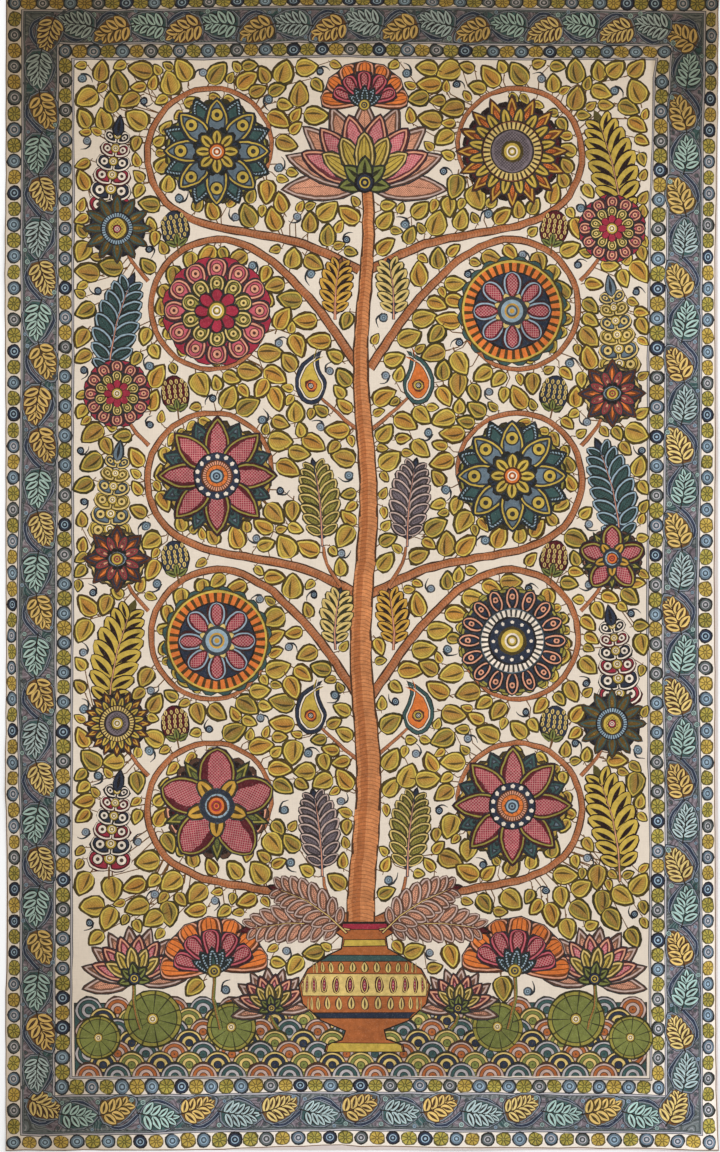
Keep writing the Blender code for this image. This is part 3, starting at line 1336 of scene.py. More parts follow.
class Bloom(Enum):
    """The field's flowers, each with its layers from the back to the front."""

    WHEEL = (
        Disc(1.00, Dye.TEAL, Pen.NONE, lobes=20),
        Disc(0.93, Dye.OCHRE, Pen.WHEEL, Dye.ORANGE),
        Disc(0.70, Dye.NAVY),
        Petals(8, 0.18, 0.52, 0.37, Dye.MADDER, Pen.NET, Dye.SKY, 0.6, 0.38),
        Petals(8, 0.16, 0.18, 0.14, Dye.STRAW, tip=0.5, start=22.5),
        Disc(0.27, Dye.SKY, Pen.RING, Dye.AMBER),
    )
    NETTED_STAR = (
        Disc(0.94, Dye.MUSTARD, lobes=24),
        Disc(0.86, Dye.NAVY, lobes=24),
        Petals(8, 0.26, 0.70, 0.34, Dye.SLATE, Pen.EYE, Dye.TEAL, tip=0.8, start=22.5),
        Petals(8, 0.20, 0.80, 0.46, Dye.MADDER, Pen.NET, Dye.OLIVE, 0.5, 0.8),
        Disc(0.40, Dye.NAVY),
        Seeds(0.33, 14, 0.040),
        Disc(0.27, Dye.ORANGE, Pen.WHEEL, Dye.SALMON),
        Disc(0.13, Dye.SKY, Pen.RING, Dye.NAVY),
    )
    RIPPLE = (
        Disc(1.00, Dye.OLIVE, Pen.NONE, lobes=26),
        Disc(0.94, Dye.OLIVE, Pen.WHEEL, Dye.NAVY),
        Disc(0.78, Dye.NAVY),
        Petals(16, 0.54, 0.42, 0.27, Dye.NAVY, Pen.EYE, Dye.SALMON, tip=0.4),
        Disc(0.60, Dye.SLATE, Pen.WHEEL, Dye.CREAM),
        Disc(0.44, Dye.NAVY, Pen.PLAIN, Dye.CREAM),
        Seeds(0.34, 12, 0.035),
        Disc(0.26, Dye.OCHRE, Pen.RING, Dye.CREAM),
    )
    FLAME = (
        Disc(0.88, Dye.MAROON, lobes=16),
        Petals(16, 0.40, 0.58, 0.24, Dye.ORANGE, Pen.VEIN, Dye.AMBER, 0.6, 0.95),
        Petals(16, 0.34, 0.42, 0.18, Dye.OCHRE, Pen.BLADE, tip=0.5, start=11.25),
        Disc(0.54, Dye.BROWN, Pen.WHEEL, Dye.STRAW),
        Disc(0.38, Dye.MAUVE, Pen.MESH, Dye.NAVY),
        Disc(0.20, Dye.OCHRE, Pen.RING, Dye.CREAM),
    )
    ROSETTE = (
        Disc(1.00, Dye.MADDER, Pen.NONE, lobes=12),
        Petals(12, 0.52, 0.42, 0.38, Dye.ROSE, Pen.EYE, Dye.SALMON, 0.5, 0.32),
        Petals(10, 0.28, 0.36, 0.32, Dye.OLIVE, Pen.EYE, Dye.STRAW, tip=0.34),
        Petals(8, 0.10, 0.30, 0.24, Dye.MADDER, Pen.PLAIN, Dye.SALMON, tip=0.4),
        Disc(0.18, Dye.OCHRE, Pen.RING, Dye.CREAM),
    )
    POND_STAR = (
        Disc(0.92, Dye.OLIVE, lobes=20),
        Disc(0.84, Dye.NAVY, lobes=20),
        Petals(8, 0.28, 0.70, 0.40, Dye.TEAL, Pen.BEADS, Dye.SKY, 0.5, 0.85, 22.5),
        Petals(8, 0.20, 0.72, 0.42, Dye.SLATE, Pen.EYE, Dye.OCHRE, 0.5, 0.7),
        Disc(0.44, Dye.TEAL, Pen.WHEEL, Dye.NAVY, lobes=12),
        Petals(8, 0.10, 0.28, 0.20, Dye.OCHRE, Pen.BLADE, tip=0.5),
        Disc(0.16, Dye.ORANGE, Pen.RING, Dye.CREAM),
    )
    ASTER = (
        Disc(0.84, Dye.NAVY, lobes=12),
        Petals(12, 0.28, 0.72, 0.30, Dye.AMBER, Pen.VEIN, Dye.TEAL, 0.6, 0.8),
        Disc(0.48, Dye.NAVY, Pen.WHEEL, Dye.SKY),
        Disc(0.32, Dye.OCHRE, Pen.MESH, Dye.STRAW),
        Disc(0.13, Dye.MADDER, Pen.RING, Dye.CREAM),
    )
    FIVE = (
        Disc(0.90, Dye.SALMON, lobes=20),
        Disc(0.82, Dye.MAROON, lobes=20),
        Petals(5, 0.16, 0.76, 0.28, Dye.MOSS, Pen.VEIN, Dye.OLIVE, tip=0.9, start=36.0),
        Petals(5, 0.10, 0.88, 0.64, Dye.MADDER, Pen.NET, Dye.OLIVE, 0.55, 0.55),
        Petals(5, 0.10, 0.42, 0.26, Dye.AMBER, Pen.BLADE, tip=0.5, start=36.0),
        Disc(0.30, Dye.SKY, Pen.WHEEL, Dye.NAVY),
        Disc(0.18, Dye.ORANGE, Pen.RING, Dye.MADDER),
    )
    EMBER = (
        Disc(0.88, Dye.STRAW, lobes=16),
        Disc(0.78, Dye.NAVY, lobes=16),
        Petals(8, 0.22, 0.76, 0.38, Dye.ORANGE, Pen.RAYS, Dye.NAVY, 0.6, 0.9),
        Petals(8, 0.18, 0.50, 0.25, Dye.SALMON, Pen.EYE, Dye.MADDER, tip=0.5, start=22.5),
        Disc(0.34, Dye.NAVY, Pen.WHEEL, Dye.SKY, lobes=10),
        Disc(0.20, Dye.OCHRE, Pen.RING, Dye.MADDER),
    )
    LOTUS = (
        Petals(9, 0.02, 0.98, 0.36, Dye.SALMON, Pen.VEIN, Dye.BLUSH, 0.6, 0.8, spread=190.0),
        Petals(6, 0.04, 0.80, 0.33, Dye.ROSE, Pen.NET, Dye.SALMON, 0.6, 0.7, spread=130.0),
        Petals(5, 0.02, 0.60, 0.26, Dye.OCHRE, Pen.RAYS, Dye.STRAW, 0.6, 0.6, spread=110.0),
        Petals(5, 0.00, 0.32, 0.20, Dye.MOSS, Pen.BLADE, tip=0.8, spread=200.0),
        Disc(0.13, Dye.NAVY, Pen.RING, Dye.OCHRE),
    )
    CARNATION = (
        Petals(7, 0.05, 0.95, 0.46, Dye.ORANGE, Pen.RAYS, Dye.SALMON, 0.9, 0.24, spread=160.0),
        Petals(5, 0.05, 0.72, 0.36, Dye.MADDER, Pen.NET, Dye.ROSE, 0.9, 0.26, spread=130.0),
        Petals(5, 0.00, 0.44, 0.22, Dye.TEAL, Pen.BEADS, Dye.SKY, tip=0.8, spread=120.0),
        Disc(0.14, Dye.OCHRE, Pen.RING, Dye.NAVY),
    )

    def sketch(self, radius: float) -> Sketch:
        """Draw the bloom round the origin, its head towards +X if it is a fan.

        Args:
            radius: The bloom's radius.

        Returns:
            The drawing.
        """
        drawing = Sketch()
        for layer in self.value:
            layer.lay(drawing, radius)
        return drawing


@dataclass(frozen=True)
class RoundLeaf:
    """The field's common leaf: broad and pointed, with a paler rim, a dark slit and fine veins."""

    width: float = 0.029
    body: Dye = Dye.OCHRE
    rim: Dye = Dye.LEMON
    curl: float = 22.0
    length: float = 0.037

    def outline(self, margin: float = 0.0) -> Outline:
        """Return the leaf's outline, drawn in by a margin."""
        outline = petal(self.length, self.width, 0.42, 0.72, 5)
        return bent(inset(outline, margin) if margin else outline, self.curl, self.length)

    def sketch(self) -> Sketch:
        """Draw the leaf along +X from its stalk.

        Returns:
            The drawing.
        """
        drawing = Sketch()
        drawing.stroke([-0.006 + 0j, 0.002 + 0j], 0.0018, Dye.UMBER)
        drawing.blade(self.length, self.width, self.body, Pen.LEAF, self.rim, base=0.42, tip=0.72, steps=5)
        return drawing.curled(self.curl, self.length)


@dataclass(frozen=True)
class Feather:
    """A long leaf with overlapping lobes on both sides."""

    length: float
    width: float
    lobes: int
    body: Dye
    rim: Dye
    back: Dye
    rib: Dye
    curl: float
    pen: Pen = Pen.VEIN

    def sketch(self) -> Sketch:
        """Draw the leaf along +X from its stalk.

        Returns:
            The drawing.
        """
        drawing = Sketch()
        drawing.blade(self.length * 0.98, self.width * 0.62, self.back, Pen.PLAIN, steps=7)
        for place in reversed(range(self.lobes)):
            share = (place + 0.3) / self.lobes
            reach = self.width * 0.72 * math.sin(math.pi * (0.20 + 0.66 * share)) ** 0.8
            root = self.length * (0.03 + 0.82 * share) + 0j
            for side in (1, -1):
                drawing.blade(reach, reach * 0.60, self.body, self.pen, self.rim, root,
                              side * (60.0 - 24.0 * share), 0.42, 0.5)
        for start, end, width, dye, end_width in ((-0.08, 0.9, 0.0046, self.back, 0.0014),
                                                  (-0.07, 0.8, 0.0020, self.rib, 0.0005)):
            path = [self.length * share + 0j for share in (start, 0.2, 0.5, end)]
            drawing.stroke(path, width, dye, end_width)
        return drawing.curled(self.curl, self.length)


@dataclass(frozen=True)
class Spike:
    """An upright spike of paired lobes, one pair nested in the next, with a bud on top."""

    length: float
    width: float
    tiers: int
    outer: Dye = Dye.NAVY
    inner: Dye = Dye.MADDER
    rim: Dye = Dye.CREAM
    curl: float = 10.0

    def sketch(self) -> Sketch:
        """Draw the spike along +X from its stalk.

        Returns:
            The drawing.
        """
        drawing = Sketch()
        for place in range(self.tiers):
            share = place / self.tiers
            size = self.width * (0.62 - 0.30 * share)
            root = self.length * (0.02 + 0.86 * (share - 0.12 * share * share)) + 0j
            dye = (self.inner, self.outer)[place % 2]
            for side in (1, -1):
                drawing.blade(size, size * 0.86, dye, Pen.EYE, self.rim, root, side * 48.0, 0.6, 0.38)
            drawing.disc(size * 0.27, Dye.OCHRE, Pen.RING, Dye.CREAM, root + size * 0.46)
        drawing.blade(self.length * 0.20, self.width * 0.30, self.outer, at=self.length * 0.72 + 0j, tip=0.9)
        drawing.stroke([-0.010 + 0j, self.length * 0.05 + 0j], 0.0030, Dye.UMBER)
        return drawing.curled(self.curl, self.length)


@dataclass(frozen=True)
class Paisley:
    """A drop with a curled tip, banded and beaded."""

    band: Dye = Dye.TEAL
    body: Dye = Dye.ORANGE
    heart: Dye = Dye.OCHRE
    length: float = 0.086
    width: float = 0.048
    curl: float = 105.0

    def sketch(self) -> Sketch:
        """Draw the paisley along +X from its round end.

        Returns:
            The drawing.
        """
        drawing = Sketch()
        shape = drop(self.length, self.width, 30)
        for margin, dye in ((0.0, Dye.INK), (0.0014, self.band), (0.0054, Dye.INK), (0.0064, Dye.CREAM),
                            (0.0084, Dye.INK), (0.0094, self.body)):
            drawing.lay(inset(shape, margin), dye)
        middle = self.length * 0.31 + 0j
        drawing.disc(0.0098, self.heart, Pen.WHEEL, Dye.MADDER, middle)
        drawing.disc(0.0048, Dye.NAVY, Pen.RING, Dye.CREAM, middle)
        return drawing.curled(self.curl, self.length)


@dataclass(frozen=True)
class Cluster:
    """A cluster of berries on a dark ground, with three sepals."""

    ground: Dye = Dye.NAVY
    berry: Dye = Dye.OCHRE
    length: float = 0.054
    width: float = 0.044
    rows: int = 6
    pitch: float = 0.0084

    def sketch(self) -> Sketch:
        """Draw the cluster along +X from its stalk.

        Returns:
            The drawing.
        """
        drawing = Sketch()
        drawing.blade(self.length, self.width, self.ground, Pen.PLAIN, base=0.4, tip=0.5, steps=8)
        base, tip, factor = growth(self.length, self.width, 0.4, 0.5)
        for row in range(self.rows):
            share = 0.07 + 0.80 * row / self.rows
            half = factor * self.length * share ** base * (1.0 - share) ** tip
            count = max(1, int(half / (self.pitch / 2)))
            for place in range(count):
                root = complex(self.length * share, self.pitch * (place - (count - 1) / 2))
                drawing.blade(self.pitch, 0.0062, self.berry, Pen.BLADE, Dye.STRAW, root, tip=0.5, steps=2)
        for side in (1, -1, 0):
            drawing.blade(0.020, 0.011, Dye.MOSS, turn=side * 62.0, steps=3)
        drawing.stroke([-0.012 + 0j, 0.004 + 0j], 0.0024, Dye.UMBER)
        return drawing


@dataclass(frozen=True)
class Curl:
    """A small blue curl: a ringed disc with a tapering tail."""

    radius: float
    body: Dye

    def sketch(self) -> Sketch:
        """Draw the curl round its disc.

        Returns:
            The drawing.
        """
        r = self.radius
        drawing = Sketch()
        knots = [r * knot for knot in (0.5 + 0.7j, -0.7 + 1.0j, -1.7 + 0.5j, -2.3 - 0.5j)]
        drawing.stroke(curve_through(knots, 2), 0.62 * r, Dye.BLUE_INK, 0.12 * r)
        drawing.lay(circle(r, 10), self.body, Pen.RING, Dye.SKY)
        return drawing


# The field


@dataclass(frozen=True)
class Branch:
    """A stem: a tapering stroke in short lengths, each with its own pen marks."""

    path: tuple[complex, ...]
    width: float
    end_width: float
    body: Dye = Dye.BARK
    reach: float = 0.013

    def walk(self, step: float) -> list[tuple[complex, complex, float]]:
        """Walk along the stem at even steps.

        Args:
            step: How far each step goes.

        Returns:
            Each point, with the way that the stem runs and its width there.
        """
        found = []
        travelled, due = 0.0, 0.0
        total = sum(abs(b - a) for a, b in zip(self.path, self.path[1:]))
        for a, b in zip(self.path, self.path[1:]):
            span = abs(b - a)
            while due <= travelled + span:
                found.append((a + (b - a) * (due - travelled) / span, (b - a) / span,
                              self.width + (self.end_width - self.width) * due / total))
                due += step
            travelled += span
        return found

    def sketch(self) -> Sketch:
        """Draw the stem.

        Returns:
            The drawing.
        """
        drawing = Sketch()
        nodes = self.walk(self.reach)
        for (point, way, width), (ahead, next_way, next_width) in zip(nodes, nodes[1:]):
            side, next_side = 0.5j * way * width, 0.5j * next_way * next_width
            outline = [point, point - side, ahead - next_side, ahead, ahead + next_side, point + side]
            shape = (0.0, 0.0, 0.25 * (width + next_width) / self.reach)
            drawing.lay(outline, self.body, Pen.STEM, Dye.CLAY, shape)
        return drawing


@dataclass
class Board:
    """Keeps count of which parts of the field are taken."""

    corner: complex
    far_corner: complex
    cell: float = 0.0025
    taken: np.ndarray = field(init=False)

    def __post_init__(self) -> None:
        """Start with an empty field."""
        size = self.far_corner - self.corner
        self.taken = np.zeros((int(size.real / self.cell) + 1, int(size.imag / self.cell) + 1), dtype=bool)

    def cells(self, points: Points) -> tuple[np.ndarray, np.ndarray]:
        """Return the column and row of each point."""
        places = (np.asarray(points) - self.corner) / self.cell
        return np.floor(places.real).astype(int), np.floor(places.imag).astype(int)

    def free(self, points: Points) -> bool:
        """Return whether every point is inside the field and free.

        Args:
            points: The points.

        Returns:
            Whether they all are.
        """
        column, row = self.cells(points)
        inside = (column >= 0) & (row >= 0) & (column < self.taken.shape[0]) & (row < self.taken.shape[1])
        return bool(inside.all()) and not self.taken[column, row].any()

    def mark(self, outline: Points) -> None:
        """Take the cells inside an outline.

        Args:
            outline: The outline. What lies outside the field is left.
        """
        columns, rows = (np.arange(max(found.min(), 0), min(found.max() + 1, size))
                         for found, size in zip(self.cells(outline), self.taken.shape))
        if not len(columns) or not len(rows):
            return
        x = self.corner.real + (columns[:, None] + 0.5) * self.cell
        y = self.corner.imag + (rows[None, :] + 0.5) * self.cell
        inside = np.zeros((len(columns), len(rows)), dtype=bool)
        for a, b in zip(outline, [*outline[1:], outline[0]]):
            if a.imag != b.imag:
                crosses = (a.imag > y) != (b.imag > y)
                inside ^= crosses & (x < a.real + (b.real - a.real) * (y - a.imag) / (b.imag - a.imag))
        self.taken[columns[0]:columns[-1] + 1, rows[0]:rows[-1] + 1] |= inside

    def room(self) -> Outline:
        """Return the middles of the free cells."""
        column, row = np.nonzero(~self.taken)
        return list(self.corner + self.cell * (column + 0.5 + 1j * (row + 0.5)))


@dataclass
class Field:
    """The field: a flowering scroll of stems that rises from a pot over a lotus pond.

    Both halves mirror each other in their stems and differ in their flowers. The leaves take
    the material.
    """

    material: Material
    axis: float = 0.004
    left: float = -0.4320
    right: float = 0.4285
    foot: float = -0.7578
    head: float = 0.7690
    scroll_reach: float = 0.222
    scroll_radius: float = 0.110
    tier_heights: tuple[float, ...] = (-0.352, -0.104, 0.144, 0.392, 0.632)
    tier_gap: float = 0.124
    margin: float = 0.0012
    seed: int = 23
    leaf_kinds: tuple[RoundLeaf, ...] = (
        RoundLeaf(), RoundLeaf(body=Dye.MUSTARD, rim=Dye.OCHRE), RoundLeaf(0.032),
        RoundLeaf(body=Dye.OLIVE, rim=Dye.OCHRE, curl=-16.0), RoundLeaf(0.027, Dye.AMBER, curl=-20.0))
    branches: list[Branch] = field(default_factory=list)
    placed: Sketch = field(default_factory=Sketch)
    kept_free: list[Outline] = field(default_factory=list)
    board: Board = field(init=False)

    def __post_init__(self) -> None:
        """Start with an empty board."""
        self.board = Board(complex(self.left, self.foot), complex(self.right, self.head))

    def spot(self, side: int, x: float, y: float) -> complex:
        """Return a point at a distance from the axis, on one side."""
        return complex(self.axis + side * x, y)

    def add_stem(self) -> None:
        """Add the stem from the pot to the crown."""
        path = [complex(self.axis + 0.006 * math.sin(y * 15.0), y) for y in np.linspace(-0.545, 0.585, 46)]
        self.branches.append(Branch(tuple(path), 0.044, 0.018, Dye.TERRACOTTA, 0.017))

    def add_scroll(self, side: int, height: float, rises: bool) -> None:
        """Add one scroll.

        Args:
            side: 1 for the right half, -1 for the left.
            height: The height of its middle.
            rises: Whether it sweeps out below its flower and up, or over it and down.
        """
        if rises:
            lead, turns = ((0.008, -0.178), (0.090, -0.140), (0.165, -0.124)), (-78.0, 215.0)
        else:
            lead, turns = ((0.008, -0.086), (0.070, 0.004), (0.118, 0.055)), (132.0, -160.0)
        steps = 25
        ring = [complex(self.scroll_reach, height)
                + self.scroll_radius * (1.0 - 0.30 * (place / steps) ** 1.4) * turned(turn)
                for place, turn in enumerate(np.linspace(*turns, steps + 1))]
        path = curve_through([*(complex(x, height + y) for x, y in lead), *ring[::3], ring[-1]], 5)
        self.branches.append(Branch(tuple(self.spot(side, p.real, p.imag) for p in path), 0.0155, 0.0062))

    def add_shoot(self, side: int, height: float, knots: Table, width: float = 0.0070) -> None:
        """Add a small stem through some points above a height."""
        path = curve_through([self.spot(side, x, height + y) for x, y in knots], 5)
        self.branches.append(Branch(tuple(path), width, width * 0.6))

    def place(self, motif: Sketch, side: int, x: float, y: float, turn: float = 90.0,
              hold: float = 0.0) -> None:
        """Place a motif, mirrored on the left half.

        Args:
            motif: The motif.
            side: 1 for the right half, -1 for the left.
            x: How far it stands from the axis.
            y: Its height.
            turn: The way that it points.
            hold: The radius that leaves keep out of, or 0 where they keep out of its outline.
        """
        placed = Sketch()
        placed.stamp(motif, self.spot(side, x, y), turn if side > 0 else 180.0 - turn, side < 0)
        self.placed.stamp(placed)
        self.kept_free += [circle(hold, 24, self.spot(side, x, y))] if hold else self.rims(placed)

    def rims(self, drawing: Sketch) -> list[Outline]:
        """Return the outlines of a drawing's patches, with a margin round them."""
        return [inset(anticlockwise(patch.outline), -self.margin) for patch in drawing.patches]

    def add_side_leaves(self) -> None:
        """Add the long leaves and spikes by the border."""
        feathers = (
            Feather(0.172, 0.066, 8, Dye.MAROON, Dye.OCHRE, Dye.OLIVE_INK, Dye.SALMON, 24.0, Pen.BLADE),
            Feather(0.168, 0.062, 8, Dye.TEAL, Dye.SKY, Dye.NAVY, Dye.SALMON, 24.0),
        )
        spikes = (Spike(0.170, 0.064, 6), Spike(0.170, 0.062, 6, Dye.SLATE, Dye.OCHRE, Dye.STRAW))
        for tier, height in enumerate(self.tier_heights):
            for side in (1, -1):
                motif = (feathers if (tier + (side > 0)) % 2 else spikes)[tier // 2 % 2]
                self.place(motif.sketch(), side, 0.384, height - 0.100, 92.0)

    def add_middle(self) -> None:
        """Add the plumes, berries and paisleys between the scrolls."""
        plumes = (
            Feather(0.128, 0.056, 8, Dye.MAUVE, Dye.BLUSH, Dye.NAVY, Dye.SALMON, -14.0),
            Feather(0.128, 0.056, 8, Dye.OLIVE, Dye.STRAW, Dye.NAVY, Dye.SALMON, -14.0),
            Feather(0.090, 0.046, 6, Dye.MOSS, Dye.STRAW, Dye.NAVY, Dye.SALMON, 16.0, Pen.BLADE),
            Feather(0.090, 0.046, 6, Dye.MAROON, Dye.AMBER, Dye.BROWN, Dye.SALMON, 16.0, Pen.BLADE),
        )
        for tier, height in enumerate(self.tier_heights[:-1]):
            odd, gap = tier % 2, height + self.tier_gap
            for side in (1, -1):
                plume = plumes[odd * 2 + ((side > 0) == (tier < 2))].sketch()
                x, rise, turn = (0.044, -0.006, 88.0) if odd else (0.064, -0.096, 90.0)
                self.place(plume, side, x, height + rise, turn)
            for side in (1, -1):
                cluster = Cluster() if (tier + (side > 0)) % 2 else Cluster(Dye.MAROON, Dye.SALMON)
                self.place(cluster.sketch(), side, 0.281, height + 0.098, 82.0)
                if not odd:
                    self.add_shoot(side, gap, ((0.010, -0.055), (0.040, -0.030), (0.070, -0.002)))
                    paisley = Paisley() if side > 0 else Paisley(Dye.NAVY, Dye.OCHRE, Dye.ORANGE)
                    self.place(paisley.sketch(), side, 0.066, gap - 0.010, 40.0)
                    self.add_shoot(side, height, ((0.036, -0.164), (0.056, -0.134), (0.064, -0.094)))

    def add_flowers(self) -> None:
        """Add the scrolls with their flowers, the small flowers and the crown."""
        big = (
            ((Bloom.NETTED_STAR, Bloom.FIVE), 0.090),
            ((Bloom.RIPPLE, Bloom.WHEEL), 0.084),
            ((Bloom.POND_STAR, Bloom.NETTED_STAR), 0.090),
            ((Bloom.WHEEL, Bloom.ROSETTE), 0.084),
            ((Bloom.FLAME, Bloom.POND_STAR), 0.087),
        )
        small = (
            (Bloom.ASTER, Bloom.FLAME),
            (Bloom.FIVE, Bloom.EMBER),
            (Bloom.EMBER, Bloom.ROSETTE),
            (Bloom.ROSETTE, Bloom.ASTER),
        )
        for tier, (height, (kinds, radius)) in enumerate(zip(self.tier_heights, big)):
            for side, kind in zip((1, -1), kinds):
                self.add_scroll(side, height, tier % 2 == 0)
                self.place(kind.sketch(radius), side, self.scroll_reach, height, hold=radius * 0.84)
        for height, kinds in zip(self.tier_heights, small):
            for side, kind in zip((1, -1), kinds):
                self.add_shoot(side, height, ((0.325, 0.045), (0.350, 0.075), (0.376, self.tier_gap)))
                self.place(kind.sketch(0.052), side, 0.372, height + self.tier_gap, hold=0.044)
        self.place(Bloom.LOTUS.sketch(0.125), 1, 0.0, 0.585)
        self.place(Bloom.CARNATION.sketch(0.066), 1, 0.0, 0.702)

    def try_leaf(self, spot: Spot) -> bool:
        """Take a leaf's place if it is free.

        Args:
            spot: The leaf's spot.

        Returns:
            Whether it was free.
        """
        kind = self.leaf_kinds[spot.pick]
        step = spot.size * turned(spot.turn)
        reach = [spot.at + step * (point * 0.77 + 0.0040) for point in kind.outline()]
        core = [spot.at + step * kind.length * share for share in (0.2, 0.4, 0.6, 0.8)]
        if not self.board.free([*reach[1:], *core]):
            return False
        self.board.mark([spot.at + step * point for point in kind.outline(self.margin)])
        return True

    def grow_leaves(self) -> tuple[list[Spot], Sketch]:
        """Set leaves along the stems, then in the room that is left.

        Returns:
            The leaves' spots, and the stalks of those that stand off their stem.
        """
        rnd = random.Random(self.seed)
        spots, stalks = [], Sketch()
        nodes = [node for branch in self.branches for node in branch.walk(0.0095)]
        for place, (point, way, width) in enumerate(nodes):
            side = 1 if place % 2 else -1
            for size in (1.12, 0.98, 0.84):
                heading = math.degrees(cmath.phase(way)) + side * rnd.uniform(38.0, 68.0)
                root = point + 1j * way * side * (width / 2 + 0.0032)
                spot = Spot(root, heading, size, rnd.randrange(len(self.leaf_kinds)))
                if self.try_leaf(spot):
                    spots.append(spot)
                    break
        anchors = np.array([point for point, _, _ in nodes])
        for sizes, tries in (((1.12, 0.98), 16000), ((0.84, 0.72), 16000), ((0.64, 0.54), 26000)):
            room = self.board.room()
            rnd.shuffle(room)
            for root in room[:tries]:
                nearest = anchors[np.abs(anchors - root).argmin()]
                away = root - nearest
                if not 0.004 < abs(away) < 0.150:
                    continue
                heading = math.degrees(cmath.phase(away)) + rnd.uniform(-80.0, 80.0)
                for size in sizes:
                    spot = Spot(root, heading, size, rnd.randrange(len(self.leaf_kinds)))
                    if self.try_leaf(spot):
                        spots.append(spot)
                        middle = nearest + away * 0.5 + 0.16j * away
                        stalks.stroke([nearest, middle, root], 0.0019, Dye.UMBER, 0.0013)
                        break
        return spots, stalks

    def grow_curls(self) -> Sketch:
        """Set a few small blue curls, well apart, before the leaves.

        Returns:
            The drawing.
        """
        rnd = random.Random(self.seed + 1)
        drawing = Sketch()
        curls = [Curl(radius, dye).sketch()
                 for radius, dye in ((0.0072, Dye.SLATE), (0.0062, Dye.NAVY), (0.0066, Dye.STEEL))]
        room = self.board.room()
        rnd.shuffle(room)
        places: Outline = []
        for middle in room:
            apart = all(abs(middle - other) > 0.082 for other in places)
            if apart and self.board.free(circle(0.0122, 10, middle)):
                turn = rnd.uniform(0.0, 360.0)
                drawing.stamp(rnd.choice(curls), middle + 0.0046 * turned(turn), turn, rnd.random() < 0.5)
                self.board.mark(circle(0.0112, 8, middle))
                places.append(middle)
        return drawing

    def sketch(self) -> Sketch:
        """Draw the whole field.

        Returns:
            The drawing.
        """
        self.add_stem()
        self.add_side_leaves()
        self.add_middle()
        self.add_flowers()
        base = Pond(self).sketch()
        for branch in self.branches:
            self.board.mark(ribbon(branch.path, branch.width + 0.003, branch.end_width + 0.003))
        for outline in (*self.kept_free, *self.rims(base)):
            self.board.mark(outline)
        curls = self.grow_curls()
        spots, stalks = self.grow_leaves()
        box = StampBox("field_leaf", [kind.sketch() for kind in self.leaf_kinds], self.material)
        leaves = box.at(spots, {"Turn Drift": 0.0, "Seed": self.seed})
        box.put_away()
        drawing = Sketch()
        stems = [branch.sketch() for branch in reversed(self.branches)]
        for layer in (stalks, leaves, *stems, curls, base, self.placed):
            drawing.stamp(layer)
        LOG.info("field: %d patches, %d leaves", len(drawing.patches), len(spots))
        return drawing


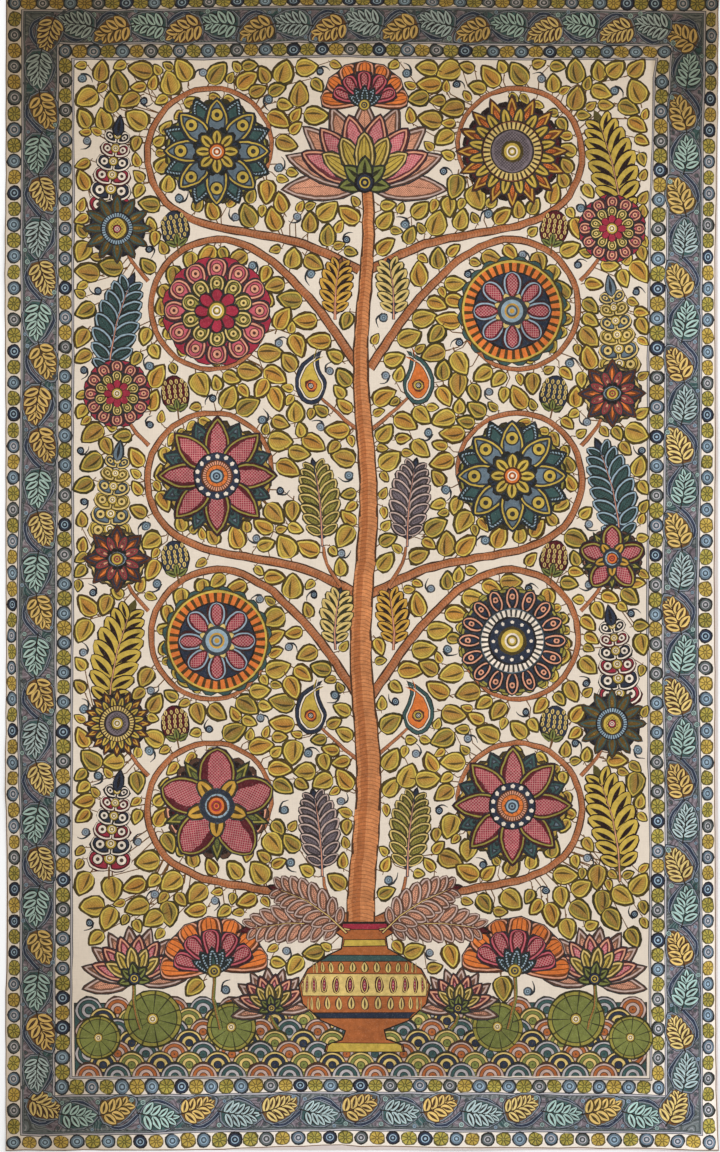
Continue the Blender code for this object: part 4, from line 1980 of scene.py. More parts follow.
@dataclass(frozen=True)
class Pond:
    """The foot of the field: a pot on a pond of lotus flowers and pads."""

    plan: Field

    # Height and half width of each row of the pot, from its foot up.
    pot_shape: Table = (
        (0.0, 0.062), (0.012, 0.058), (0.020, 0.034), (0.032, 0.030), (0.046, 0.066), (0.072, 0.094),
        (0.100, 0.100), (0.126, 0.086), (0.146, 0.056), (0.156, 0.036), (0.172, 0.034), (0.184, 0.052),
        (0.196, 0.056))

    def silhouette(self, rows: Table) -> Outline:
        """Return an outline from rows above the pot's foot, the same on both sides of the axis.

        Args:
            rows: Heights above the foot, each with its half width.

        Returns:
            The outline.
        """
        axis, foot = self.plan.axis, self.plan.foot + 0.036
        right = [complex(axis + half, foot + height) for height, half in rows]
        return right + [complex(axis - half, foot + height) for height, half in reversed(rows)]

    def water(self) -> Sketch:
        """Draw the rows of scales that stand for water.

        Returns:
            The drawing.
        """
        left, right, foot = self.plan.left, self.plan.right, self.plan.foot
        drawing = Sketch()
        rows, rise, count = 7, 0.0165, 20
        top = foot + rise * (rows - 1) + 0.012
        drawing.draw([complex(left, foot), complex(right, foot), complex(right, top), complex(left, top)],
                     Dye.TEAL, 0.0015)
        pitch = (right - left) / count
        tones = ((Dye.TEAL, Dye.HAZE), (Dye.NAVY, Dye.STRAW), (Dye.CLAY, Dye.BLUSH), (Dye.MOSS, Dye.STRAW))
        for row in range(rows):
            base = foot + rise * (rows - 1 - row)
            for place in range(row % 2, count):
                middle = complex(left + pitch * (place + 0.5 - 0.5 * (row % 2)), base)
                dye, accent = tones[(place * 2 + row * 3) % 4]
                arc = [complex(p.real, max(p.imag, foot)) for p in circle(pitch / 2, 14, middle)]
                drawing.lay(arc, dye, Pen.RIPPLE, accent)
        return drawing

    def lotuses(self) -> Sketch:
        """Draw the lotus flowers, buds and pads.

        Returns:
            The drawing.
        """
        drawing = Sketch()
        for side in (1, -1):
            for reach, height, radius in ((0.318, -0.672, 0.044), (0.200, -0.684, 0.038),
                                          (0.400, -0.700, 0.034)):
                at = self.plan.spot(side, reach, height)
                drawing.disc(radius, Dye.MOSS, Pen.PAD, Dye.OLIVE, at)
                drawing.disc(radius * 0.22, Dye.OCHRE, Pen.RING, Dye.CREAM, at)
            for reach, height, radius, kind in (
                    (0.346, -0.612, 0.080, Bloom.LOTUS), (0.226, -0.600, 0.082, Bloom.CARNATION),
                    (0.140, -0.656, 0.062, Bloom.LOTUS)):
                middle = self.plan.spot(side, reach, height)
                foot = complex(middle.real - side * 0.010, self.plan.foot + 0.070)
                path = (foot, (foot + middle) / 2 + side * 0.006, middle)
                drawing.stamp(Branch(path, 0.0070, 0.0056, Dye.MOSS, 0.012).sketch())
                drawing.stamp(kind.sketch(radius), middle, 90.0 - side * 6.0)
        return drawing

    def pot(self) -> Sketch:
        """Draw the pot that the stem grows from.

        Returns:
            The drawing.
        """
        foot = self.plan.foot + 0.036
        drawing = Sketch()
        drawing.draw(self.silhouette(self.pot_shape), Dye.CLAY, 0.0022)
        for low, high, dye in (
                (0.000, 0.014, Dye.OCHRE), (0.050, 0.060, Dye.NAVY), (0.084, 0.118, Dye.STRAW),
                (0.136, 0.146, Dye.TEAL), (0.158, 0.170, Dye.OCHRE), (0.184, 0.194, Dye.MADDER)):
            heights = [low + (high - low) * share / 4 for share in range(5)]
            band = [(height, self.half_at(height) - 0.003) for height in heights]
            drawing.draw(self.silhouette(band), dye, 0.0012)
        for spread, height, length, width, dye, pen, tip in (
                (0.094, 0.088, 0.026, 0.0140, Dye.MADDER, Pen.NET, 0.5),
                (0.086, 0.063, 0.021, 0.0130, Dye.SALMON, Pen.BLADE, 0.7),
                (0.078, 0.119, 0.017, 0.0120, Dye.OCHRE, Pen.BLADE, 0.7)):
            for place in range(-6, 7):
                angle = math.radians(place * 13.5)
                squeeze = math.cos(angle)
                root = complex(self.plan.axis + spread * math.sin(angle), foot + height)
                grown = petal(length, width, 0.45, tip)
                outline = [root + 1j * complex(p.real, p.imag * squeeze) for p in grown]
                drawing.lay(outline, dye, pen, Dye.STRAW, growth(length, width * squeeze, 0.45, tip))
        for side in (1, -1):
            for lean, length in ((14.0, 0.165), (46.0, 0.135)):
                frond = Feather(length, 0.054, 8, Dye.SALMON, Dye.BLUSH, Dye.MAROON, Dye.STRAW, -34.0)
                drawing.stamp(frond.sketch(), self.plan.spot(side, 0.034, foot + 0.186),
                              lean if side > 0 else 180.0 - lean, side < 0)
        return drawing

    def half_at(self, height: float) -> float:
        """Return the pot's half width at a height above its foot.

        Args:
            height: The height.

        Returns:
            The half width there.
        """
        for (low, half), (high, next_half) in zip(self.pot_shape, self.pot_shape[1:]):
            if height <= high:
                return half + (next_half - half) * (height - low) / (high - low)
        return self.pot_shape[-1][1]

    def sketch(self) -> Sketch:
        """Draw the foot of the field.

        Returns:
            The drawing.
        """
        drawing = Sketch()
        for layer in (self.water(), self.lotuses(), self.pot()):
            drawing.stamp(layer)
        return drawing


# The cloth


@dataclass(frozen=True)
class Tremor:
    """The maker's hand: every drawn point strays a little, and its neighbours stray with it."""

    reach: float = 0.00034
    waves: tuple[Triple, ...] = (
        (0.041, 20.0, 0.3), (0.029, 95.0, 1.9), (0.019, 160.0, 4.1), (0.0125, 55.0, 2.6))

    def moved(self, points: np.ndarray) -> np.ndarray:
        """Add the tremor.

        Args:
            points: The drawn points.

        Returns:
            The moved points.
        """
        shift = np.zeros_like(points)
        for length, turn, phase in self.waves:
            way = turned(turn)
            along = (points * np.conjugate(way)).real * (2 * math.pi / length)
            across = (points * np.conjugate(1j * way)).real * (2 * math.pi / (length * 1.37))
            shift += 1j * way * np.sin(along + phase) + way * np.sin(across + 2.0 * phase)
        return points + shift * self.reach


@dataclass
class PaintedCloth:
    """The cloth: one sheet, cut along the drawing's outlines. Its flat points are complex numbers."""

    name: str = "painted_cloth"
    width: float = CLOTH_WIDTH
    length: float = CLOTH_LENGTH
    thickness: float = CLOTH_THICKNESS
    edge_step: float = 0.012
    swell_step: float = 0.030
    back_step: float = 0.035
    tremor: Tremor = field(default_factory=Tremor)
    top_share: float = 0.94
    seed: int = 5

    def point(self, across: float, along: float) -> complex:
        """Return the cloth's point for shares of its width and its length.

        Args:
            across: The share of the width.
            along: The share of the length.

        Returns:
            The point.
        """
        left = -self.width / 2 + eased_at(LEFT_EDGE, along)
        right = self.width / 2 - eased_at(RIGHT_EDGE, along)
        foot = -self.length / 2 + eased_at(FOOT_EDGE, across)
        head = self.length / 2 - eased_at(HEAD_EDGE, across)
        return complex(left + (right - left) * across, foot + (head - foot) * along)

    def outline(self) -> Outline:
        """Return the cloth's own edge, anticlockwise.

        Returns:
            The edge's points.
        """
        columns, rows = round(self.width / self.edge_step), round(self.length / self.edge_step)
        foot = [self.point(place / columns, 0.0) for place in range(columns)]
        right = [self.point(1.0, place / rows) for place in range(rows)]
        head = [self.point(1.0 - place / columns, 1.0) for place in range(columns)]
        left = [self.point(0.0, 1.0 - place / rows) for place in range(rows)]
        return foot + right + head + left

    def grid(self, step: float) -> Outline:
        """Return evenly spread points inside the cloth.

        Args:
            step: How far apart they are.

        Returns:
            The points.
        """
        columns, rows = round(self.width / step), round(self.length / step)
        return [self.point(column / columns, row / rows)
                for column in range(1, columns) for row in range(1, rows)]

    @staticmethod
    def lift(places: np.ndarray) -> np.ndarray:
        """Return how far the cloth's underside stands off the surface at some points.

        Args:
            places: The points, one a row.

        Returns:
            Each point's height.
        """
        lift = np.zeros(len(places))
        for centre_x, centre_y, half_length, half_width, turn, height in SWELLS:
            local = (places - complex(centre_x, centre_y)) * turned(-turn)
            reach = np.minimum(np.hypot(local.real / half_length, local.imag / half_width), 1.0)
            lift = np.maximum(lift, height * (0.5 + 0.5 * np.cos(np.pi * reach)))
        return lift

    def cut(self, drawing: Sketch) -> tuple[np.ndarray, np.ndarray, np.ndarray, np.ndarray]:
        """Cut the sheet's face along the drawing's outlines.

        Args:
            drawing: The patches, in the order that they were laid.

        Returns:
            The face's points, its triangles, the number of the patch on top of each triangle,
            or -1 for bare cloth, and each patch's two ends.
        """
        edge = np.array(self.outline())
        drawn = self.tremor.moved(np.array([p for patch in drawing.patches for p in patch.outline]))
        points = np.concatenate([edge, drawn])
        ends = np.cumsum([len(edge), *(len(patch.outline) for patch in drawing.patches)])
        rings = np.split(points, ends[:-1])
        after = np.arange(1, len(points) + 1)
        after[ends - 1] = [0, *ends[:-1]]
        bonds = np.array([-1, *(-2 - list(Dye).index(patch.dye) if patch.dye.finish is Finish.LINE else place
                                for place, patch in enumerate(drawing.patches))])

        flat, faces, tops = self.covered(points, np.stack([np.arange(len(points)), after], axis=1), rings)
        seams = self.thinned(flat, self.seams(faces, bonds[tops]))
        kept, seams = np.unique(seams, return_inverse=True)
        flat = np.concatenate([flat[kept], self.grid(self.swell_step)])
        flat, faces, tops = self.covered(flat, seams.reshape(-1, 2), rings)
        ends = np.array([(ring[0], ring[len(ring) // 2]) for ring in [*rings[1:], rings[0]]])
        return flat, faces, tops - 1, ends

    @classmethod
    def covered(cls, points: np.ndarray, sides: np.ndarray,
                rings: Sequence[np.ndarray]) -> tuple[np.ndarray, np.ndarray, np.ndarray]:
        """Cut the plane into triangles that keep to some lines, and keep those inside an outline.

        Args:
            points: The points.
            sides: The two ends of each line.
            rings: The outlines, in the order that they were laid.

        Returns:
            The points, with those where lines cross, the triangles, and the number of the
            last outline round each.
        """
        places = [Vector((p.real, p.imag)) for p in points.tolist()]
        found, _, faces, _, _, _ = delaunay_2d_cdt(places, sides.tolist(), [], 0, 1e-6, False)
        flat, faces = np.array([complex(p.x, p.y) for p in found]), np.array(faces)
        tops = cls.topmost(flat[faces].mean(axis=1), rings)
        return flat, faces[tops >= 0], tops[tops >= 0]

    @staticmethod
    def seams(faces: np.ndarray, bonds: np.ndarray) -> list[tuple[int, int]]:
        """Return the lines between triangles of different patches, and round the sheet.

        Args:
            faces: The triangles.
            bonds: A number for each triangle. Neighbours with the same one have no seam.

        Returns:
            The two ends of each line.
        """
        owners = {}
        for (a, b, c), bond in zip(faces.tolist(), bonds.tolist()):
            owners.update({(a, b): bond, (b, c): bond, (c, a): bond})
        return [(a, b) for (a, b), bond in owners.items()
                if (b, a) not in owners or (a < b and owners[b, a] != bond)]

    @staticmethod
    def thinned(flat: np.ndarray, seams: Sequence[tuple[int, int]], slack: float = 0.00014,
                longest: float = 0.030) -> np.ndarray:
        """Drop the points of a line that its neighbours do without.

        Args:
            flat: The points.
            seams: The two ends of each line.
            slack: How far a dropped point may lie from the new line.
            longest: How long the new line may be.

        Returns:
            The two ends of each line that is left.
        """
        joined: dict[int, list[int]] = {}
        for a, b in seams:
            joined.setdefault(a, []).append(b)
            joined.setdefault(b, []).append(a)
        places = flat.tolist()
        for point in list(joined):
            ends = joined[point]
            if len(ends) != 2 or ends[0] == ends[1] or ends[1] in joined[ends[0]]:
                continue
            a, b = ends
            way = places[b] - places[a]
            off = abs((way.conjugate() * (places[point] - places[a])).imag)
            if off > slack * abs(way) or abs(way) > longest:
                continue
            joined[a][joined[a].index(point)] = b
            joined[b][joined[b].index(point)] = a
            del joined[point]
        return np.array([(a, b) for a, ends in joined.items() for b in ends if a < b])

    @staticmethod
    def topmost(middles: np.ndarray, rings: Sequence[np.ndarray]) -> np.ndarray:
        """Find which outline was laid last over each point.

        Args:
            middles: The points.
            rings: The outlines, in the order that they were laid.

        Returns:
            The number of each point's last outline, or -1 where there is none.
        """
        order = np.argsort(middles.real)
        x, y = middles.real[order], middles.imag[order]
        tops = np.full(len(middles), -1)
        for number, ring in enumerate(rings):
            low, high = np.searchsorted(x, (ring.real.min(), ring.real.max()))
            near = low + np.nonzero((y[low:high] > ring.imag.min()) & (y[low:high] < ring.imag.max()))[0]
            if not len(near):
                continue
            near = near[np.argsort(y[near])]
            px, py = x[near], y[near]
            inside = np.zeros(len(near), dtype=bool)
            ahead = np.concatenate([ring[1:], ring[:1]])
            lows = np.searchsorted(py, np.minimum(ring.imag, ahead.imag)).tolist()
            highs = np.searchsorted(py, np.maximum(ring.imag, ahead.imag)).tolist()
            for a, b, lowest, highest in zip(ring.tolist(), ahead.tolist(), lows, highs):
                if lowest < highest:
                    span, slope = slice(lowest, highest), (b.real - a.real) / (b.imag - a.imag)
                    inside[span] ^= px[span] < a.real + slope * (py[span] - a.imag)
            tops[order[near[inside]]] = number
        return tops

    def build(self, drawing: Sketch, materials: dict[Finish, Material]) -> bpy.types.Object:
        """Build the sheet: its painted face, then its edge, then its back.

        Args:
            drawing: The whole drawing.
            materials: The material of each finish.

        Returns:
            The cloth's object.
        """
        flat, face, tops, ends = self.cut(drawing)
        loop = self.edge_loop(face)
        back_points, back = self.back(flat[loop])
        back = back[:, ::-1] + len(flat)
        ring = len(flat) + np.arange(len(loop))
        walls = np.stack([loop, ring, np.roll(ring, -1), np.roll(loop, -1)], axis=1)
        places = np.concatenate([flat, back_points])
        height = np.concatenate([self.lift(flat) + self.thickness, self.lift(back_points)])
        mesh = bpy.data.meshes.new(self.name)
        mesh.from_pydata(np.stack([places.real, places.imag, height], axis=1).tolist(), [],
                         [*face.tolist(), *walls.tolist(), *back.tolist()])

        rnd = random.Random(self.seed)
        shades = [1.0 if patch.dye.finish is Finish.LINE else rnd.gauss(1.0, 0.045)
                  for patch in drawing.patches]
        patches = [*drawing.patches, Patch((), Dye.MARGIN)]
        paint = np.array([patch.dye.linear for patch in patches]) * np.array([*shades, 1.0])[:, None]
        soaked = self.show_through(flat[face], paint[tops], back_points)
        finishes = list(Finish)
        for finish in finishes:
            mesh.materials.append(materials[finish])
        kinds = np.array([finishes.index(patch.dye.finish) for patch in patches])[tops]
        cotton = [finishes.index(Finish.COTTON)] * (len(walls) + len(back))
        mesh.polygons.foreach_set("material_index", [*kinds.tolist(), *cotton])

        over = np.repeat(tops, 3)
        start, axis = ends[over, 0], ends[over, 1] - ends[over, 0]
        framed = (flat[face.ravel()] - start) / axis
        bows = np.array([patch.bow for patch in patches])[over]
        dyes = np.concatenate([paint[over], np.tile(Dye.MARGIN.linear, (walls.size, 1)),
                               soaked[back.ravel() - len(flat)]])
        size = np.abs(axis)
        for name, values in (
                ("dye_colour", np.insert(dyes, 3, 1.0, axis=1)),
                ("pen_place", np.stack([framed.real, framed.imag * size, size, bows], axis=1)),
                ("pen_shape", np.array([patch.drawn() for patch in patches])[over]),
                ("accent_colour", np.array([(*patch.accent.linear, 1.0) for patch in patches])[over])):
            whole = np.zeros((len(mesh.loops), 4))
            whole[:len(values)] = values
            mesh.color_attributes.new(name, "FLOAT_COLOR", "CORNER").data.foreach_set("color", whole.ravel())
        corners = np.concatenate([face.ravel(), walls.ravel(), back.ravel()])
        self.unwrap(mesh, places[corners], face.size, len(walls))
        mesh.polygons.foreach_set("use_smooth", [True] * len(mesh.polygons))
        mesh.set_sharp_from_angle(angle=math.radians(40.0))
        mesh.update()
        cloth = bpy.data.objects.new(self.name, mesh)
        bpy.context.scene.collection.objects.link(cloth)
        LOG.info("%s: %d faces on the painted side, %d in all", self.name, len(face), len(mesh.polygons))
        return cloth

    def edge_loop(self, face: np.ndarray) -> np.ndarray:
        """Return the points round the sheet's edge, in order, anticlockwise.

        Args:
            face: The painted side's faces, by their points' numbers.

        Returns:
            The numbers of the points.
        """
        follows = dict(self.seams(face, np.zeros(len(face))))
        loop = [next(iter(follows))]
        while follows[loop[-1]] != loop[0]:
            loop.append(follows[loop[-1]])
        return np.array(loop)

    def back(self, edge: np.ndarray) -> tuple[np.ndarray, np.ndarray]:
        """Return the plain back: its points, edge first, and its faces.

        Args:
            edge: The points round the sheet's edge.

        Returns:
            The points and the faces.
        """
        places = [Vector((p.real, p.imag)) for p in [*edge, *self.grid(self.back_step)]]
        found, _, faces, _, _, owners = delaunay_2d_cdt(places, [], [list(range(len(edge)))], 0, 1e-7, True)
        kept = [face for face, own in zip(faces, owners) if own]
        return np.array([complex(p.x, p.y) for p in found]), np.array(kept)

    def cells(self, places: np.ndarray, shift: float) -> tuple[np.ndarray, np.ndarray]:
        """Return the column and row of the back's cells that hold some points, shifted by a share."""
        return (((places.real + self.width / 2) / self.back_step + shift).astype(int),
                ((places.imag + self.length / 2) / self.back_step + shift).astype(int))

    def show_through(self, corners: np.ndarray, colours: np.ndarray, places: np.ndarray) -> np.ndarray:
        """Return the back's colours: the face's dyes, soaked through, blurred and paler.

        Args:
            corners: The three corners of each of the face's triangles.
            colours: Each triangle's colour.
            places: The back's points.

        Returns:
            One colour for each of the back's points.
        """
        size = int(self.width / self.back_step) + 3, int(self.length / self.back_step) + 3
        a, b, c = corners.T
        area = np.abs(((b - a).conjugate() * (c - a)).imag)
        total, weight = np.zeros((*size, 3)), np.full(size, 1e-9)
        cell = self.cells((a + b + c) / 3, 1.0)
        np.add.at(total, cell, colours * area[:, None])
        np.add.at(weight, cell, area)
        mean = total / weight[:, :, None]
        column, row = (np.clip(found, 1, limit - 3) for found, limit in zip(self.cells(places, 0.5), size))
        near = sum(mean[column + x, row + y] for x, y in ((0, 0), (1, 0), (0, 1), (1, 1))) / 4
        return 0.45 * near + 0.55 * np.array(Dye.CREAM.linear)

    def unwrap(self, mesh: bpy.types.Mesh, corners: np.ndarray, painted: int, walls: int) -> None:
        """Give the painted face nearly the whole map, and its back and edge a strip each.

        Args:
            mesh: The sheet's mesh.
            corners: The place of every face corner.
            painted: How many of them the painted face has.
            walls: How many faces the edge has.
        """
        across, along = corners.real / self.width + 0.5, corners.imag / self.length + 0.5
        strip = 1.0 - self.top_share
        u, v = across.copy(), strip + self.top_share * along
        edge, back = slice(painted, painted + walls * 4), slice(painted + walls * 4, None)
        v[edge] = strip * (0.80 + 0.08 * np.tile([0.0, 1.0, 1.0, 0.0], walls))
        u[edge] = np.repeat(np.arange(walls) / walls, 4) + np.tile([0.0, 0.0, 1.0, 1.0], walls) / walls
        u[back], v[back] = along[back], strip * 0.70 * across[back]
        layer = mesh.uv_layers.new(name="OFBake")
        layer.data.foreach_set("uv", np.stack([u, v], axis=1).clip(0.0, 1.0).ravel())


# Finishes


def most(*wires: Wire) -> Wire:
    """Return the greatest of some numbers."""
    return reduce(operator.or_, wires)


class Shading:
    """The shader node groups that the cloth's materials share."""

    HERE = (0.0, 0.0, 0.0)
    GREY = (0.5, 0.5, 0.5, 1.0)

    @staticmethod
    def group(name: str, inputs: dict[str, object], outputs: dict[str, str]) -> NodePad:
        """Start a shader group."""
        return NodePad.group("ShaderNodeTree", name, inputs, outputs)

    @classmethod
    def weave(cls) -> Tree:
        """Build the plain weave: threads over and under, with thick slubs both ways.

        Returns:
            The group.
        """
        pad = cls.group("plain weave", {"Place": cls.HERE, "Threads": 2200.0, "Slub": 0.5},
                        {"Height": "Float", "Slubs": "Float"})
        threads, slubs = [], []
        for turn in (0.0, math.pi / 2):
            spun = pad.add("ShaderNodeVectorRotate", {"Vector": pad.given["Place"], "Angle": turn},
                           rotation_type="Z_AXIS").outputs[0]
            threads.append(pad.wire("ShaderNodeTexWave", {
                "Vector": spun, "Scale": pad.given["Threads"], "Distortion": 0.6, "Detail": 1.0,
                "Detail Scale": 0.02}, "Fac", wave_type="BANDS", bands_direction="X"))
            stretch = pad.add("ShaderNodeVectorMath", {0: spun, 1: (900.0, 45.0, 1.0)}, operation="MULTIPLY")
            slubs.append(pad.noise(stretch.outputs[0], 1.0, 1.0, 0.4))
        slub = slubs[0] + slubs[1] - 1.0
        pad.add("NodeGroupOutput", {
            "Height": threads[0] + threads[1] + slub * pad.input("Slub"), "Slubs": slub})
        return pad.tree

    @classmethod
    def pen_work(cls) -> Tree:
        """Build the pen work: what the maker draws on a patch, in the patch's own frame.

        Returns:
            The group.
        """
        pad = cls.group("pen work", {
            "Place": (0.5, 0.0, 0.01), "Bow": 0.0, "Shape": ROUND, "Kind": 0.0, "Spot": cls.HERE,
            "Pen": 0.0026}, {"Line": "Float", "Rim": "Float", "Stain": "Float", "Glint": "Float"})
        u, across, length = pad.parts("Place")
        base, tip, factor = pad.parts("Shape")
        hand = pad.noise(pad.given["Spot"], 75.0, 1.5)

        def drawn(*pens: Pen) -> Wire:
            """Return 1 on patches with one of these kinds of pen work."""
            kind = pad.input("Kind")
            return reduce(operator.add, (kind.math("COMPARE", float(one.value), 0.5) for one in pens))

        # Where the point lies: along the patch, off its middle line, and in from its edge.
        u = u.math("MAXIMUM", 0.0005).math("MINIMUM", 0.9995)
        rest = ~u
        across = across + pad.input("Bow") * length * u * rest * 4.0 + (hand - 0.5) * 0.0006
        along = u * length
        side = abs(across)
        half = factor * length * u ** base * rest ** tip
        slope = half / length * (base / u - tip / rest)
        depth = (half - side) / (slope * slope + 1.0).math("SQRT")
        out = across / half
        centre_x, centre_y = (u - 0.5) * 2.0, across / (length * factor) * 2.0
        rho = (centre_x * centre_x + centre_y * centre_y).math("SQRT")
        angle = centre_y.math("ARCTAN2", centre_x) / (2.0 * math.pi)

        # The ink line, the rim inside it and the core.
        leaf, stem, blade, wheel, ring, floret, pad_leaf, swirled = (drawn(pen) for pen in (
            Pen.LEAF, Pen.STEM, Pen.BLADE, Pen.WHEEL, Pen.RING, Pen.FLORET, Pen.PAD, Pen.SWIRL))
        fancy = drawn(Pen.VEIN, Pen.NET, Pen.RAYS, Pen.EYE, Pen.BEADS)
        rimmed = fancy + leaf
        outlined = rimmed + blade + stem + wheel + pad_leaf + drawn(Pen.PLAIN, Pen.MESH, Pen.RIPPLE)
        body = factor * length * 0.45
        pen = pad.input("Pen") * (hand * 0.9 + 0.55) * (leaf * 0.40 + 1.0)
        pen = pen.math("MINIMUM", body * 0.30 | stem * half * 0.28)
        rim_end = pen + (body * 0.24).math("MINIMUM", 0.0024)
        core_edge = rim_end + pen * (fancy * 0.55 + 0.50)
        core = depth > core_edge
        band = depth.within(pen, rim_end)

        slit = abs(across - half * u * rest * 0.9) < half * (u - 0.01) * (~u - 0.26) * 0.80
        ribs = ((along - side * 1.1) / 0.0034).stripes(0.26) | (side < 0.0004)
        net = ((along + across) / 0.0048).stripes(0.23) | ((along - across) / 0.0048).stripes(0.23)
        shade = (out + hand * 0.3) > 0.62
        off = (u - 0.60) * length
        eye = (off * off + side * side).math("SQRT") / body
        ray = abs((angle * 8.0).math("FRACT") - 0.5) * rho < 0.075
        ticks = rho.within(0.72, 0.93) * (angle * 36.0).stripes(0.42)
        swirl = pad.noise(pad.given["Spot"], 34.0, 0.6) * 11.0
        line = most(
            outlined * (depth < pen),
            depth.within(rim_end, core_edge) * (fancy * 0.88 + leaf * 0.40),
            leaf * core * slit * 0.92,
            leaf * core * ((along - side * 0.9) / 0.0040).stripes(0.20) * 0.36,
            drawn(Pen.VEIN) * core * ribs * 0.85,
            drawn(Pen.MESH) * core * net * 0.85,
            drawn(Pen.NET) * core * shade * 0.80,
            drawn(Pen.RAYS) * core * (out * 2.6 + 0.5).stripes(0.20) * 0.85,
            drawn(Pen.EYE) * core * (eye.within(0.46, 0.58) | (eye < 0.20)),
            drawn(Pen.BEADS) * band * (along / 0.0038).stripes(0.45),
            blade * (side < half * (u - 0.08) * (~u - 0.14) * 1.6) * (depth > pen),
            ring * ((rho > 0.76) | rho.within(0.27, 0.39) * 0.85),
            floret * most(ray * (rho > 0.2), rho.within(0.16, 0.26), rho > 0.88) * 0.85,
            wheel * most(ticks, rho.within(0.66, 0.71), (angle * 12.0).stripes(0.10) * (rho < 0.66) * 0.8),
            pad_leaf * ((angle * 11.0).stripes(0.12) | rho.within(0.80, 0.84)) * 0.9,
            drawn(Pen.RIPPLE) * (rho * 4.2).stripes(0.24) * 0.95,
            swirled * swirl.stripes(0.22) * 0.62,
            stem * (u * 3.0 + side / half * (side / half) * 1.1 + hand * 0.5).stripes(0.24) * 0.42,
        )
        rim = most(
            rimmed * band,
            drawn(Pen.EYE) * core * (eye < 0.46),
            blade * depth.within(pen, pen + body * 0.74),
            ring * (rho.within(0.39, 0.52) | (rho < 0.17)),
            wheel * rho.within(0.71, 0.93),
            floret * ((angle * 8.0).stripes(0.5) > 0.5) * (rho > 0.2) * 0.5,
            pad_leaf * (rho > 0.84),
            drawn(Pen.RIPPLE) * (rho * 2.1 + 0.4).stripes(0.5),
            swirled * (swirl + 0.5).stripes(0.16) * 0.34,
            stem * out.within(0.05, 0.62) * 0.75,
        )
        stain = leaf * core * (~(side / half * 1.5)).math("MAXIMUM", 0.0)
        glint = drawn(Pen.NET) * core * net * ~shade
        pad.add("NodeGroupOutput", {"Line": line, "Rim": rim, "Stain": stain, "Glint": glint})
        return pad.tree

    @classmethod
    def wash(cls) -> Tree:
        """Build the dye wash: the brush's uneven load, pale thirsty threads and pooled dye.

        Returns:
            The group.
        """
        pad = cls.group("dye wash", {
            "Place": cls.HERE, "Colour": cls.GREY, "Pool": 0.2, "Grain": 0.2, "Slubs": 0.0,
            "Bare": (*Dye.CREAM.linear, 1.0), "Thirst": 0.1}, {"Colour": "Color"})
        place = pad.given["Place"]
        broad, blot, fine = (pad.noise(place, *kind)
                             for kind in ((9.0, 3.0, 0.55), (120.0, 2.0, 0.6), (560.0, 2.0, 0.7)))
        load = (broad + blot - 1.0) * pad.input("Pool") + (fine - 0.5) * pad.input("Grain")
        load = load + pad.input("Slubs") * 0.12
        dyed = pad.scaled(pad.given["Colour"], load + 1.0)
        dry = pad.wire("ShaderNodeMapRange", {"Value": fine, "From Min": 0.56, "From Max": 0.80})
        pad.add("NodeGroupOutput", {"Colour": pad.mix(dry * pad.input("Thirst"), dyed, pad.given["Bare"])})
        return pad.tree

    @classmethod
    def age(cls) -> Tree:
        """Build the darkening of the cloth's colour towards its head and its left side, deepest in the
        border.

        Returns:
            The group.
        """
        pad = cls.group("age", {"Place": cls.HERE, "Border Half Width": 0.432, "Border Half Length": 0.768},
                        {"Tint": "Color"})
        x, y, _ = pad.parts("Place")

        def rise(value: Wire, start: float, end: float) -> Wire:
            """Return an eased 0 to 1 rise between two values."""
            return pad.wire("ShaderNodeMapRange", {"Value": value, "From Min": start, "From Max": end},
                            interpolation_type="SMOOTHSTEP")

        border = rise(abs(x) - pad.input("Border Half Width"), 0.0, 0.008) | rise(
            abs(y) - pad.input("Border Half Length"), 0.0, 0.008)
        head, long_head, foot = rise(y, 0.45, 0.87), rise(y, 0.0, 0.87), rise(y * -1.0, 0.20, 0.85)
        left, right = rise(x * -1.0, 0.25, 0.46), rise(x, 0.36, 0.53)
        # Darker towards the head and the left side, most in the border; lighter in the border's right and
        # foot sides, away from the head.
        loss = head * (border * 0.16 + 0.06 + right * border * 0.10)
        loss = loss + left * (border * 0.06 + 0.01 + long_head * 0.04 + foot * 0.09)
        loss = loss - border * ~head * (right * 0.060 + foot * ~left * 0.085)
        loss = loss + ~border * (head * 0.03 + 0.035)
        tint = pad.wire("ShaderNodeCombineXYZ", {
            place: (~(loss * share)) ** 2.2 for place, share in enumerate((1.0, 1.15, 1.38))})
        pad.add("NodeGroupOutput", {"Tint": tint})
        return pad.tree

    @classmethod
    def inked(cls) -> Tree:
        """Build the colour of a patch with its pen work: rim, stain, then line.

        Returns:
            The group.
        """
        pad = cls.group("inked dye", {
            "Colour": cls.GREY, "Accent": cls.GREY, "Line": 0.0, "Rim": 0.0, "Stain": 0.0, "Glint": 0.0,
            "Ink": (*Dye.INK.linear, 1.0), "Stain Colour": (*Dye.CLAY.linear, 1.0)}, {"Colour": "Color"})
        given = pad.given
        ink = pad.mix(0.55, pad.scaled(given["Colour"], 0.16), given["Ink"])
        pale = pad.mix(0.34, given["Colour"], (*Dye.CREAM.linear, 1.0))
        netted = pad.mix(given["Glint"], given["Colour"], pale)
        rimmed = pad.mix(given["Rim"], netted, given["Accent"])
        stained = pad.mix(pad.input("Stain") * 0.50, rimmed, given["Stain Colour"])
        pad.add("NodeGroupOutput", {"Colour": pad.mix(pad.input("Line") * 0.96, stained, ink)})
        return pad.tree


